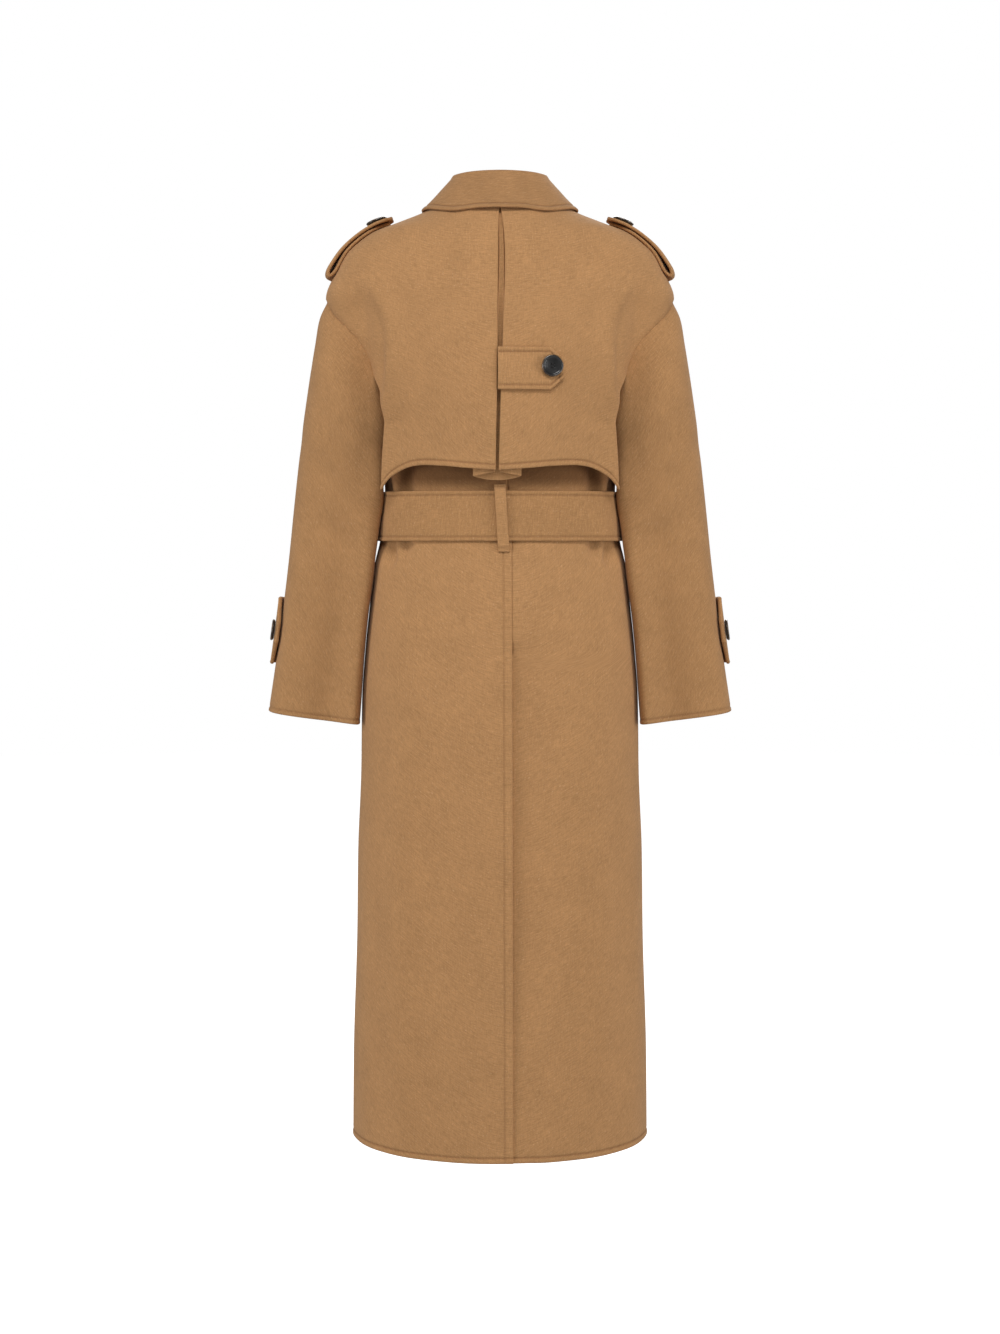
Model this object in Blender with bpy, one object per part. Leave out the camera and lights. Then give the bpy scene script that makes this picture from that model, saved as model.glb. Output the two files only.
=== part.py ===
"""Belted double-faced coat, empty and worn-shaped, as separate sewn pieces.

Axes: back of the coat faces -Y, front +Y, the wearer's right is +X, up is +Z.
Origin: centre of the neck at the height where the collar is sewn on.
A section of the form is an oval; its angle is 0 at the right side, -90 degrees at the centre back
and +90 degrees at the centre front.
"""
import bpy
import numpy as np
from mathutils import Vector
from mathutils.bvhtree import BVHTree

MM = 0.001

# Looks: colour and roughness
WOOL = dict(colour=(0.45, 0.235, 0.105), roughness=0.9)
BELT_WOOL = dict(colour=(0.40, 0.205, 0.090), roughness=0.9)
HORN = dict(colour=(0.03, 0.02, 0.015), roughness=0.25)

# Cloth and seams
CLOTH = 2.5 * MM
SEAM_GAP = 0.3 * MM
LAYER_GAP = 0.6 * MM
LAYER = CLOTH + LAYER_GAP
STEP = 1e-4

# Heights of the main lines
NECK_Z = 0.0
SHOULDER_END_Z = -0.1256
UNDERARM_Z = -0.285
BELT_TOP_Z = -0.3670
BELT_BOTTOM_Z = -0.4285
VENT_TOP_Z = -0.5650
HEM_Z = -1.1900
HEM_SIDE_RISE = 0.004

# Sections of the body: height, half width, back depth, front depth, squareness
BODY = np.array([
    (0.004, 0.0690, 0.0620, 0.0560, 0.00),
    (-0.008, 0.0725, 0.0700, 0.0610, 0.00),
    (-0.0215, 0.0950, 0.0820, 0.0720, 0.00),
    (-0.0350, 0.1290, 0.0915, 0.0860, 0.00),
    (-0.0465, 0.1590, 0.0985, 0.0945, 0.02),
    (-0.0585, 0.1768, 0.1035, 0.1005, 0.04),
    (-0.074, 0.1920, 0.1080, 0.1060, 0.06),
    (-0.092, 0.2012, 0.1120, 0.1120, 0.08),
    (-0.1256, 0.2150, 0.1170, 0.1200, 0.10),
    (-0.150, 0.2110, 0.1190, 0.1240, 0.10),
    (-0.180, 0.2030, 0.1200, 0.1270, 0.12),
    (-0.217, 0.1880, 0.1200, 0.1280, 0.14),
    (-0.254, 0.1660, 0.1180, 0.1270, 0.16),
    (-0.285, 0.1500, 0.1150, 0.1250, 0.17),
    (-0.330, 0.1480, 0.1100, 0.1190, 0.17),
    (-0.365, 0.1465, 0.1080, 0.1150, 0.16),
    (-0.397, 0.1475, 0.1080, 0.1140, 0.15),
    (-0.430, 0.1520, 0.1110, 0.1160, 0.15),
    (-0.459, 0.1586, 0.1160, 0.1190, 0.15),
    (-0.503, 0.1638, 0.1220, 0.1220, 0.15),
    (-0.567, 0.1710, 0.1280, 0.1250, 0.15),
    (-0.630, 0.1757, 0.1310, 0.1270, 0.14),
    (-0.720, 0.1772, 0.1340, 0.1290, 0.13),
    (-0.822, 0.1814, 0.1360, 0.1310, 0.12),
    (-0.925, 0.1830, 0.1390, 0.1330, 0.10),
    (-1.080, 0.1873, 0.1420, 0.1350, 0.07),
    (-1.200, 0.1878, 0.1440, 0.1370, 0.04),
])

# Armhole edge of the back and front panels: height, angle on the back, angle on the front
ARMHOLE = np.array([
    (-0.1256, 0.0, 0.0),
    (-0.1300, 6.5, 7.0),
    (-0.1380, 12.5, 13.0),
    (-0.1500, 19.0, 20.0),
    (-0.1700, 28.0, 29.0),
    (-0.1950, 33.0, 34.0),
    (-0.2250, 34.0, 35.0),
    (-0.2500, 31.5, 32.0),
    (-0.2680, 25.5, 26.0),
    (-0.2800, 15.0, 16.0),
    (-0.2850, 0.0, 0.0),
])

# Large folds of the body: x and z of both ends, half width, depth inward, the side of the form
# (-1 back, 1 front) and whether the storm flap has it too
FOLDS = np.array([
    (0.1780, -0.095, 0.1560, -0.300, 0.017, 0.010, -1, 1),
    (0.1170, -0.290, 0.1180, -0.470, 0.009, 0.009, -1, 0),
    (0.1400, -0.330, 0.1390, -0.480, 0.007, 0.006, -1, 0),
    (0.1100, -0.300, 0.1120, -0.470, 0.010, 0.007, 1, 0),
    (0.0950, -0.470, 0.1200, -1.250, 0.045, -0.003, -1, 0),
    (0.1500, -0.500, 0.1520, -1.250, 0.022, 0.004, -1, 0),
    (0.1150, -0.500, 0.1300, -1.250, 0.030, 0.004, 1, 0),
])

# Centre back seam: height, x
BACK_SEAM = np.array([
    (0.01, 0.0060),
    (-0.36, 0.0089),
    (-0.44, 0.0147),
    (-0.62, 0.0152),
    (-1.21, 0.0166),
])
VENT_LAP = 0.041
VENT_SLOPE = 0.024
VENT_STEP = 0.040
VENT_STEP_EASE = 0.024

# Storm flap: x and height of its hem, its stand off the back, and the slit of its pleat
FLAP_HEM = np.array([
    (0.0000, -0.3410),
    (0.0300, -0.3386),
    (0.0600, -0.3355),
    (0.0800, -0.3348),
    (0.0971, -0.3362),
    (0.1125, -0.3400),
    (0.1284, -0.3471),
    (0.1422, -0.3585),
    (0.1480, -0.3650),
])
FLAP_SIDE = np.array([
    (-0.2300, 38.5),
    (-0.2600, 36.0),
    (-0.3000, 33.0),
    (-0.3700, 27.0),
])
FLAP_HANG = np.array([
    (0.01, 0.4 * MM),
    (-0.09, 0.6 * MM),
    (-0.13, 2.4 * MM),
    (-0.20, 7.5 * MM),
    (-0.28, 12.0 * MM),
    (-0.37, 15.5 * MM),
])
PLEAT_SLIT = np.array([
    (0.00, -0.0006, 0.0006),
    (-0.035, -0.0012, 0.0030),
    (-0.0845, -0.0022, 0.0060),
    (-0.1718, -0.0028, 0.0034),
    (-0.2471, -0.0030, 0.0004),
    (-0.2948, -0.0040, -0.0008),
    (-0.3450, -0.0048, -0.0018),
])
# Where the flap's hanging field turns back toward the armhole: height, x
FLAP_DRAPE = np.array([
    (-0.0900, 0.1900),
    (-0.1300, 0.1680),
    (-0.1600, 0.1560),
    (-0.2000, 0.1500),
    (-0.2650, 0.1480),
])
FLAP_DRAPE_EASE = 0.014
FLAP_CLEAR = 4.5 * MM
PLEAT_HALF_WIDTH = 0.0285
PLEAT_TOP_HALF = 0.0140
PLEAT_HEM_Z = -0.3535
PLEAT_HEM_RISE = 0.0135
FLAP_COLUMNS = (0, 0.13, 0.26, 0.39, 0.51, 0.61, 0.69, 0.76, 0.82, 0.88, 0.94, 1)
FLAP_ROWS = (-0.006, -0.010, -0.018, -0.028, -0.040, -0.054, -0.070, -0.088, -0.107, -0.1256,
             -0.1300, -0.1380, -0.1500, -0.1700, -0.1950, -0.2250)

# Tab across the pleat
TAB = dict(left=-0.003, shoulder=0.0615, tip=0.0786, top=-0.1945, bottom=-0.2445, tip_half=0.011)
TAB_BUTTON = (0.0638, -0.2181)

# Button: radius, thickness, rim width, dish depth
BUTTON_RADIUS = 13.5 * MM
BUTTON_THICK = 4.0 * MM
BUTTON_RIM = 3.0 * MM
BUTTON_DISH = 1.2 * MM
BUTTON_BACK = 0.8
SEAT_REACH = 40 * MM
BUTTON_SIDES = 14

# Sleeve: place along it, outer line x and z, inner line x and z, half depth, middle y
SLEEVE = np.array([
    (0.00, 0.2173, -0.1256, 0.1500, -0.2850, 0.074, 0.000),
    (0.05, 0.2256, -0.1500, 0.1535, -0.3000, 0.077, 0.001),
    (0.10, 0.2306, -0.1749, 0.1550, -0.3150, 0.078, 0.002),
    (0.20, 0.2379, -0.2130, 0.1560, -0.3430, 0.077, 0.004),
    (0.32, 0.2455, -0.2600, 0.1570, -0.3760, 0.074, 0.007),
    (0.45, 0.2530, -0.3100, 0.1585, -0.4080, 0.070, 0.010),
    (0.60, 0.2606, -0.3780, 0.1620, -0.4550, 0.064, 0.014),
    (0.75, 0.2690, -0.4550, 0.1690, -0.5160, 0.062, 0.018),
    (0.88, 0.2815, -0.5500, 0.1755, -0.5900, 0.060, 0.022),
    (1.00, 0.2960, -0.6450, 0.1805, -0.6590, 0.058, 0.025),
])
SLEEVE_RINGS = (0.0, 0.02, 0.05, 0.09, 0.14, 0.20, 0.27, 0.35, 0.43, 0.51, 0.60, 0.70, 0.80,
                0.90, 1.0)
# Soft folds of the sleeve: place along it, angle around it, half length, half angle, depth
SLEEVE_FOLDS = np.array([
    (0.08, 60.0, 0.06, 60.0, -0.004),
    (0.08, -60.0, 0.06, 60.0, -0.002),
    (0.05, 0.0, 0.05, 45.0, -0.003),
    (0.36, 142.0, 0.16, 26.0, -0.011),
    (0.64, 140.0, 0.18, 24.0, -0.009),
    (0.95, 140.0, 0.20, 24.0, -0.008),
    (0.44, 60.0, 0.05, 60.0, 0.003),
    (0.60, 110.0, 0.05, 55.0, 0.003),
    (0.30, 120.0, 0.06, 50.0, 0.003),
    (0.52, -70.0, 0.05, 60.0, 0.003),
])

# Cuff tab: its two heights along the sleeve, its angles round it and its pointed tip
CUFF_TAB = dict(start=0.815, end=0.925, front=-85.0, shoulder=14.0, tip=27.0, tip_half=0.3,
                stand=2.4 * MM, thick=4.4 * MM)
CUFF_TAB_BUTTON_ANGLE = 9.0

# Shoulder tab, out to its fold and back beneath: height of the shoulder line below it, stand off it
EPAULETTE_PATH = np.array([
    (-0.0358, 11.3 * MM),
    (-0.0390, 12.0 * MM),
    (-0.0430, 12.0 * MM),
    (-0.0500, 11.8 * MM),
    (-0.0600, 12.0 * MM),
    (-0.0720, 12.4 * MM),
    (-0.0820, 13.6 * MM),
    (-0.0900, 14.9 * MM),
    (-0.0963, 15.2 * MM),
    (-0.1015, 13.8 * MM),
    (-0.1030, 11.2 * MM),
    (-0.1005, 9.0 * MM),
    (-0.0950, 7.5 * MM),
    (-0.0860, 7.0 * MM),
    (-0.0740, 7.0 * MM),
    (-0.0620, 7.0 * MM),
    (-0.0520, 7.0 * MM),
    (-0.0430, 7.0 * MM),
    (-0.0375, 7.0 * MM),
])
EPAULETTE_HALF_WIDTH = 0.026
EPAULETTE_TIP_ROWS = (0.42, 0.80)
EPAULETTE_THICK = 3.6 * MM
EPAULETTE_BUTTON_Z = -0.0425

# Collar: angle from the centre back, seam and fold radii and heights, edge radii
COLLAR_SEAM = dict(side=0.0705, back=0.0655, front=0.0585, reach=114.0)
COLLAR_FOLD = dict(side=0.0580, back=0.0600, front=0.0660, reach=115.0)
COLLAR_EDGE = dict(side=0.0980, back=0.1010, front=0.1150, reach=134.0)
COLLAR_FOLD_Z = 0.0268
COLLAR_FOLD_DROP = 0.0120
COLLAR_BACK_EDGE_Z = -0.0232
COLLAR_FOLD_RADIUS = 4.5 * MM
COLLAR_LIFT = 1.2 * MM
COLLAR_FRONT_LIFT = 4.5 * MM
COLLAR_HOLLOW = 1.0 * MM

# Front: the right side laps over the left
WRAP_X = 0.075
BREAK_Z = -0.285
ROLL_TOP_X = 0.0655
ROLL_TOP_Z = -0.010
UNDER_WRAP = 9.6 * MM
LAPEL_LIFT = 1.6 * MM
LAPEL_TOP = 0.84
LAPEL_WIDTH = np.array([
    (0.00, 0.006),
    (0.25, 0.036),
    (0.55, 0.058),
    (0.85, 0.072),
    (1.00, 0.060),
])
FRONT_BUTTON_X = 0.055
FRONT_BUTTON_ROWS = (-0.320, -0.490, -0.640)

# Belt, buckle and loop
BELT_STAND = 0.8 * MM
BELT_OVERLAP = 62.0
BELT_START = 96.0
BUCKLE = dict(half_width=0.026, half_height=0.039, bar=0.006, thick=0.004, roundness=0.45)
LOOP_WIDTH = 0.014
LOOP_X = 0.0022
LOOP_TOP_Z = -0.3632
LOOP_BOTTOM_Z = -0.4375

BACK_COLUMNS = (0, 0.10, 0.20, 0.30, 0.40, 0.48, 0.54, 0.59, 0.64, 0.70, 0.76, 0.81, 0.87, 0.93, 1)
FRONT_COLUMNS = 11
BODY_ROWS = (-0.002, -0.010, -0.018, -0.028, -0.040, -0.054, -0.070, -0.088, -0.107)
LOWER_ROWS = (-0.305, -0.335, -0.365, -0.397, -0.430, -0.460, -0.500, VENT_TOP_Z + 0.02,
              VENT_TOP_Z, VENT_TOP_Z - 0.012, VENT_TOP_Z - VENT_SLOPE, -0.680, -0.800, -0.930,
              -1.060, HEM_Z)


def smooth(value):
    """Eases from 0 to 1."""
    value = np.clip(value, 0.0, 1.0)
    return value * value * (3.0 - 2.0 * value)


def read_table(table, place, column=1):
    """Reads one column of a table at a place of its first column, with smooth slopes."""
    table = table if table[0, 0] < table[-1, 0] else table[::-1]
    x, y = table[:, 0], table[:, column]
    step = np.diff(x)
    rise = np.diff(y) / step
    slope = np.zeros_like(y)
    same = rise[1:] * rise[:-1] > 0
    weight_a, weight_b = 2 * step[1:] + step[:-1], step[1:] + 2 * step[:-1]
    with np.errstate(divide="ignore", invalid="ignore"):
        mean = (weight_a + weight_b) / (weight_a / rise[:-1] + weight_b / rise[1:])
    slope[1:-1] = np.where(same, mean, 0.0)
    slope[0], slope[-1] = rise[0], rise[-1]
    place = np.clip(place, x[0], x[-1])
    i = np.clip(np.searchsorted(x, place, side="right") - 1, 0, len(x) - 2)
    t = (place - x[i]) / step[i]
    return ((1 + 2 * t) * (1 - t) ** 2 * y[i] + t * (1 - t) ** 2 * step[i] * slope[i]
            + t * t * (3 - 2 * t) * y[i + 1] + t * t * (t - 1) * step[i] * slope[i + 1])


def unit(vectors):
    return vectors / np.maximum(np.linalg.norm(vectors, axis=-1, keepdims=True), 1e-12)


def base_form(angle, z):
    """The body's smooth form, by an angle in radians and a height."""
    half, back, front, square = (read_table(BODY, z, c) for c in (1, 2, 3, 4))
    depth = np.where(np.sin(angle) < 0, back, front)
    cosine, sine = np.cos(angle), np.sin(angle)
    return np.stack([half * cosine * (1 + square * sine ** 2),
                     depth * sine * (1 + square * cosine ** 2), z + 0 * angle], axis=-1)


def form_normals(form, angle, z):
    along = form(angle + 1e-3, z) - form(angle - 1e-3, z)
    up = form(angle, z + STEP) - form(angle, z - STEP)
    return unit(np.cross(along, up))


def fold_depth(folds, x, y, z):
    """Depth of the large folds at a place, mirrored to both sides."""
    total = np.zeros_like(x)
    for x_top, z_top, x_low, z_low, half, depth, side, _ in folds:
        along = (z_top - z) / (z_top - z_low)
        centre = x_top + (x_low - x_top) * np.clip(along, 0, 1)
        ends = smooth(along / 0.25) * smooth((1 - along) / 0.25)
        near = np.exp(-((np.abs(x) - centre) / half) ** 2)
        facing = smooth(0.5 + side * y / 0.03)
        total += depth * near * ends * facing
    return total


def folded_form(folds, angle, z):
    point = base_form(angle, z)
    depth = fold_depth(folds, point[..., 0], point[..., 1], z)
    return point - form_normals(base_form, angle, z) * depth[..., None]


def body_form(angle, z):
    """The body's outer surface with its large folds."""
    return folded_form(FOLDS, angle, z)


def flap_form(angle, z):
    """The same surface with only the folds that the storm flap shares."""
    return folded_form(FOLDS[FOLDS[:, 7] > 0], angle, z)


def angle_at(x, z, front=False):
    """Angle at which the section at a height has the given x."""
    half, square = read_table(BODY, z, 1), read_table(BODY, z, 4)
    goal = np.clip(x / half, -0.999, 0.999)
    cosine = goal
    for _ in range(12):
        value = cosine * (1 + square * (1 - cosine ** 2)) - goal
        cosine = np.clip(cosine - value / (1 + square * (1 - 3 * cosine ** 2)), -1, 1)
    return np.arccos(cosine) * (1 if front else -1)


def armhole_angle(z, front=False):
    """Angle of a panel's outer edge: the shoulder seam, the armhole, then the side seam."""
    place = np.clip(z, UNDERARM_Z, SHOULDER_END_Z)
    value = np.radians(read_table(ARMHOLE, place, 2 if front else 1))
    return value if front else -value


def new_material(name, look):
    """Principled material of one piece, from its colour and roughness."""
    material = bpy.data.materials.new(name)
    material.use_nodes = True
    shader = material.node_tree.nodes["Principled BSDF"]
    shader.inputs["Base Color"].default_value = (*look["colour"], 1.0)
    shader.inputs["Roughness"].default_value = look["roughness"]
    shader.inputs["Metallic"].default_value = 0.0
    return material


def add_object(name, points, faces, look):
    """Makes an object whose faces look outward, its volume being positive."""
    points = np.asarray(points)
    volume = 0.0
    for face in faces:
        first = points[face[0]]
        for b, c in zip(face[1:-1], face[2:]):
            volume += np.dot(first, np.cross(points[b], points[c]))
    if volume < 0:
        faces = [tuple(reversed(face)) for face in faces]
    mesh = bpy.data.meshes.new(name)
    mesh.from_pydata([tuple(p) for p in points], [], [tuple(f) for f in faces])
    mesh.update()
    mesh.shade_smooth()
    mesh.set_sharp_from_angle(angle=np.radians(40))
    body = bpy.data.objects.new(name, mesh)
    bpy.context.scene.collection.objects.link(body)
    mesh.materials.append(new_material(name, look))


def add_wall(name, outer, inner, look, ring=False):
    """Closed cloth wall between two grids of points; a ring closes round on itself."""
    rows, columns = outer.shape[:2]
    points = np.concatenate([outer.reshape(-1, 3), inner.reshape(-1, 3)])
    below = rows * columns
    last = columns if ring else columns - 1
    faces = []
    for r in range(rows - 1):
        for c in range(last):
            n = (c + 1) % columns
            a, b = r * columns + c, r * columns + n
            d, e = (r + 1) * columns + c, (r + 1) * columns + n
            faces.append((a, b, e, d))
            faces.append((below + a, below + d, below + e, below + b))
    for c in range(last):
        n = (c + 1) % columns
        low = (rows - 1) * columns
        faces.append((c, below + c, below + n, n))
        faces.append((low + c, low + n, below + low + n, below + low + c))
    if not ring:
        for r in range(rows - 1):
            a, d = r * columns, (r + 1) * columns
            faces.append((a, d, below + d, below + a))
            a, d = a + columns - 1, d + columns - 1
            faces.append((a, below + a, below + d, d))
    add_object(name, points, faces, look)


def form_wall(name, angle, z, stand, side, look, form=body_form):
    """Wall on a form whose outside stands off it; side -1 mirrors it to the left."""
    point = form(angle, z)
    normal = form_normals(form, angle, z)
    stand = np.broadcast_to(stand, z.shape)[..., None]
    mirror = np.array([side, 1.0, 1.0])
    add_wall(name, (point + normal * stand) * mirror,
             (point + normal * (stand - CLOTH)) * mirror, look)


def blend_columns(start, end, places):
    """Grid of angles between two edges, each given row by row."""
    return start[:, None] + (end - start)[:, None] * np.asarray(places)[None, :]


def panel_rows():
    return np.array(BODY_ROWS + tuple(ARMHOLE[:, 0]) + LOWER_ROWS)


def add_back(side, look):
    """Back panel; the right one runs on under the left one below the vent's top."""
    z = panel_rows()
    seam = side * read_table(BACK_SEAM, z)
    edge_x = seam + SEAM_GAP / 2
    if side > 0:
        edge_x = edge_x - VENT_LAP * smooth((VENT_TOP_Z - z) / VENT_SLOPE)
    start = angle_at(edge_x, z)
    half = read_table(BODY, z, 1)
    end = armhole_angle(z) - SEAM_GAP / 2 / half
    angle = blend_columns(start, end, BACK_COLUMNS)
    height = np.repeat(z[:, None], angle.shape[1], axis=1)
    height[-1] += HEM_SIDE_RISE * np.cos(angle[-1]) ** 2
    stand = np.zeros_like(angle)
    if side > 0:
        x = base_form(angle, height)[..., 0]
        near = smooth((seam[:, None] + VENT_STEP - x) / VENT_STEP_EASE)
        below = smooth((VENT_TOP_Z + 0.02 - height) / 0.019)
        stand = -LAYER * near * below
    form_wall("back_right" if side > 0 else "back_left", angle, height, stand, side, look)


def roll_x(z):
    """x of the right front's edge: the roll line above the break, straight below it."""
    up = np.clip((z - BREAK_Z) / (ROLL_TOP_Z - BREAK_Z), 0, 1)
    return -WRAP_X + (WRAP_X + ROLL_TOP_X) * up


def under_wrap(x, z):
    """How far the left front lies inside the form, where the right one covers it."""
    return UNDER_WRAP * smooth((x + 0.110) / 0.026) * smooth((-0.105 - z) / 0.03)


def front_stand(side, x, z):
    return np.zeros_like(x) if side > 0 else -under_wrap(-x, z)


def add_front(side, look):
    z = panel_rows()
    half = read_table(BODY, z, 1)
    start = angle_at(roll_x(z), z, front=True)
    start = np.maximum(start, armhole_angle(z, front=True) + 0.14)
    end = armhole_angle(z, front=True) + SEAM_GAP / 2 / half
    angle = blend_columns(end, start, np.linspace(0, 1, FRONT_COLUMNS))
    height = np.repeat(z[:, None], angle.shape[1], axis=1)
    height[-1] += HEM_SIDE_RISE * np.cos(angle[-1]) ** 2
    stand = front_stand(side, base_form(angle, height)[..., 0], height)
    form_wall("front_right" if side > 0 else "front_left", angle, height, stand, side, look)


def add_lapel(side, look):
    """Turned-back part of the front, from the roll line outward."""
    place = np.linspace(0.04, LAPEL_TOP, 14)
    across = np.linspace(0, 1, 7)
    z_roll = BREAK_Z + (ROLL_TOP_Z - BREAK_Z) * place
    width = read_table(LAPEL_WIDTH, place)
    z = z_roll[:, None] - 0.32 * width[:, None] * across[None, :] * (1 - 0.6 * place[:, None])
    x = roll_x(z_roll)[:, None] + 0.0015 + width[:, None] * across[None, :]
    angle = angle_at(x, z, front=True)
    under = front_stand(side, x, z)
    loose = smooth(across / 0.3)[None, :]
    lift = LAYER * (1 + 0.25 * loose) + LAPEL_LIFT * loose * (1 + under / UNDER_WRAP)
    lift = lift + (LAYER_GAP if side < 0 else 0.0)
    stand = under + lift
    form_wall("lapel_right" if side > 0 else "lapel_left", angle, z, stand, side, look)


def sleeve_loop():
    """Armhole loop from the shoulder down the back, under the arm and up the front."""
    z_back = ARMHOLE[:, 0]
    z_front = ARMHOLE[-2:0:-1, 0]
    z = np.concatenate([z_back, z_front])
    angle = np.concatenate([armhole_angle(z_back), armhole_angle(z_front, front=True)])
    point = body_form(angle, z)
    normal = form_normals(body_form, angle, z)
    along = unit(np.roll(point, -1, axis=0) - np.roll(point, 1, axis=0))
    away = unit(np.cross(along, normal))
    middle = point.mean(axis=0)
    away = away * np.sign(np.sum(away * (middle - point), axis=-1, keepdims=True))
    return point, normal, away


def ring_normals(outer):
    """Outward normals of a tube of rings."""
    around = np.roll(outer, -1, axis=1) - np.roll(outer, 1, axis=1)
    normal = unit(np.cross(around, np.gradient(outer, axis=0)))
    out = outer - outer.mean(axis=1, keepdims=True)
    return normal * np.sign(np.sum(normal * out, axis=-1).mean())


def sleeve_oval(place, around):
    """Point of the sleeve's plain form; around is 0 outside, 90 degrees at the back."""
    outer_x, outer_z, inner_x, inner_z, deep, middle = (
        read_table(SLEEVE, place, c) for c in range(1, 7))
    cosine, sine = np.cos(around), np.sin(around)
    square = 0.12 * smooth(place / 0.2)
    cosine, sine = cosine * (1 + square * sine ** 2), sine * (1 + square * cosine ** 2)
    x = (outer_x + inner_x) / 2 + cosine * (outer_x - inner_x) / 2
    z = (outer_z + inner_z) / 2 + cosine * (outer_z - inner_z) / 2
    y = middle - sine * deep
    fold = np.zeros_like(x)
    for at, centre, half_length, half_angle, depth in SLEEVE_FOLDS:
        turn = np.angle(np.exp(1j * (around - np.radians(centre))))
        fold += depth * np.exp(-((place - at) / half_length) ** 2
                               - (turn / np.radians(half_angle)) ** 2)
    centre_x, centre_z = (outer_x + inner_x) / 2, (outer_z + inner_z) / 2
    out = unit(np.stack([x - centre_x, y - middle, z - centre_z], axis=-1))
    return np.stack([x, y, z], axis=-1) - out * fold[..., None]


def sleeve_normal(place, around):
    along = sleeve_oval(place, around + 1e-3) - sleeve_oval(place, around - 1e-3)
    down = (sleeve_oval(np.clip(place + 1e-3, 0, 1), around)
            - sleeve_oval(np.clip(place - 1e-3, 0, 1), around))
    normal = unit(np.cross(along, down))
    centre = (sleeve_oval(place, around) + sleeve_oval(place, around + np.pi)) / 2
    outward = np.sum(normal * (sleeve_oval(place, around) - centre), axis=-1, keepdims=True)
    return normal * np.sign(outward)


def add_sleeve(side, look):
    loop, loop_normal, away = sleeve_loop()
    first = SLEEVE[0]
    centre = np.array([(first[1] + first[3]) / 2, 0.0, (first[2] + first[4]) / 2])
    axis = unit(np.array([first[1] - first[3], 0.0, first[2] - first[4]]))
    half = np.hypot(first[1] - first[3], first[2] - first[4]) / 2
    turn = np.unwrap(np.arctan2(-loop[:, 1] / first[5], (loop - centre) @ axis / half))
    even = np.linspace(0, 2 * np.pi, len(loop), endpoint=False)
    place = np.repeat(np.array(SLEEVE_RINGS)[:, None], len(loop), axis=1)
    settle = smooth(place / 0.35)
    around = turn * (1 - settle) + even * settle
    start = sleeve_oval(np.zeros_like(place), np.broadcast_to(turn, place.shape))
    fade = (1 - smooth(place / 0.16))[..., None]
    outer = sleeve_oval(place, around) + (loop - start) * fade
    leave = unit(outer[1] - outer[0])
    part = unit(leave + away + 0.25 * loop_normal)
    outer[0] += part * SEAM_GAP * 2
    normal = ring_normals(outer)
    mirror = np.array([side, 1.0, 1.0])
    add_wall("sleeve_right" if side > 0 else "sleeve_left", outer * mirror,
             (outer - normal * CLOTH) * mirror, look, ring=True)


def pleat_half(z):
    """Half width of the pleat's underlay, which narrows toward the collar."""
    return PLEAT_TOP_HALF + (PLEAT_HALF_WIDTH - PLEAT_TOP_HALF) * smooth((-0.03 - z) / 0.17)


def flap_stand(x, z, sewn=0.0):
    """Stand of the flap's outside off the back; it is a layer more over the pleat."""
    low = smooth((-0.12 - z) / 0.05)
    reach = pleat_half(z) + 0.042 + 0.033 * low
    over_pleat = smooth((reach - np.abs(x)) / (0.022 + 0.028 * low))
    return read_table(FLAP_HANG, z) * (1 - sewn) + LAYER * (1.15 + 1.4 * over_pleat + 0.3 * sewn)


def add_flap(side, look):
    """Half of the storm flap, from the pleat's slit to the armhole and the free side."""
    across = np.array(FLAP_COLUMNS)
    hem = read_table(FLAP_HEM, 0.149 * across)
    upper = np.repeat(np.array(FLAP_ROWS)[:, None], len(across), axis=1)
    lower = np.linspace(0, 1, 6)[1:, None]
    z = np.concatenate([upper, upper[-1] + (hem - upper[-1]) * lower])
    slit = side * read_table(PLEAT_SLIT, z, 2 if side > 0 else 1)
    start = angle_at(slit, z)
    below = -np.radians(read_table(FLAP_SIDE, z))
    armhole = armhole_angle(z) - FLAP_CLEAR / read_table(BODY, z, 1)
    end = np.where(z > FLAP_SIDE[0, 0], armhole, below)
    angle = start + (end - start) * across[None, :]
    x = base_form(angle, z)[..., 0]
    sewn = smooth((x - read_table(FLAP_DRAPE, z)) / FLAP_DRAPE_EASE) * smooth((z + 0.265) / 0.05)
    stand = flap_stand(x, z, sewn)
    form_wall("storm_flap_right" if side > 0 else "storm_flap_left", angle, z, stand, side,
              look, flap_form)


def add_pleat(look):
    across = np.linspace(-1, 1, 5)
    upper = np.repeat(np.array(FLAP_ROWS)[1:, None], len(across), axis=1)
    hem = PLEAT_HEM_Z + PLEAT_HEM_RISE * across ** 2
    lower = np.linspace(0, 1, 5)[1:, None]
    z = np.concatenate([upper, upper[-1] + (hem - upper[-1]) * lower])
    x = pleat_half(z) * across
    form_wall("storm_flap_pleat", angle_at(x, z), z, flap_stand(x, z) - 1.2 * LAYER, 1, look,
              flap_form)


def strap_edge(place, shoulder, tip, half, tip_half):
    """Half width of a strap along its length, narrowing to a flat tip."""
    return np.where(place < shoulder, half,
                    half + (tip_half - half) * (place - shoulder) / (tip - shoulder))


def add_tab(look):
    x_line = np.concatenate([np.linspace(TAB["left"], TAB["shoulder"], 6),
                             [0.0700, TAB["tip"]]])
    half_line = strap_edge(x_line, TAB["shoulder"], TAB["tip"], (TAB["top"] - TAB["bottom"]) / 2,
                           TAB["tip_half"])
    across = np.linspace(-1, 1, 4)
    middle = (TAB["top"] + TAB["bottom"]) / 2
    z = middle + half_line[:, None] * across[None, :]
    x = np.repeat(x_line[:, None], 4, axis=1)
    stand = flap_stand(x, z) + LAYER * (1 + 0.25 * smooth((x - TAB["left"]) / 0.02))
    form_wall("flap_tab", angle_at(x, z), z, stand, 1, look, flap_form)


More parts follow.
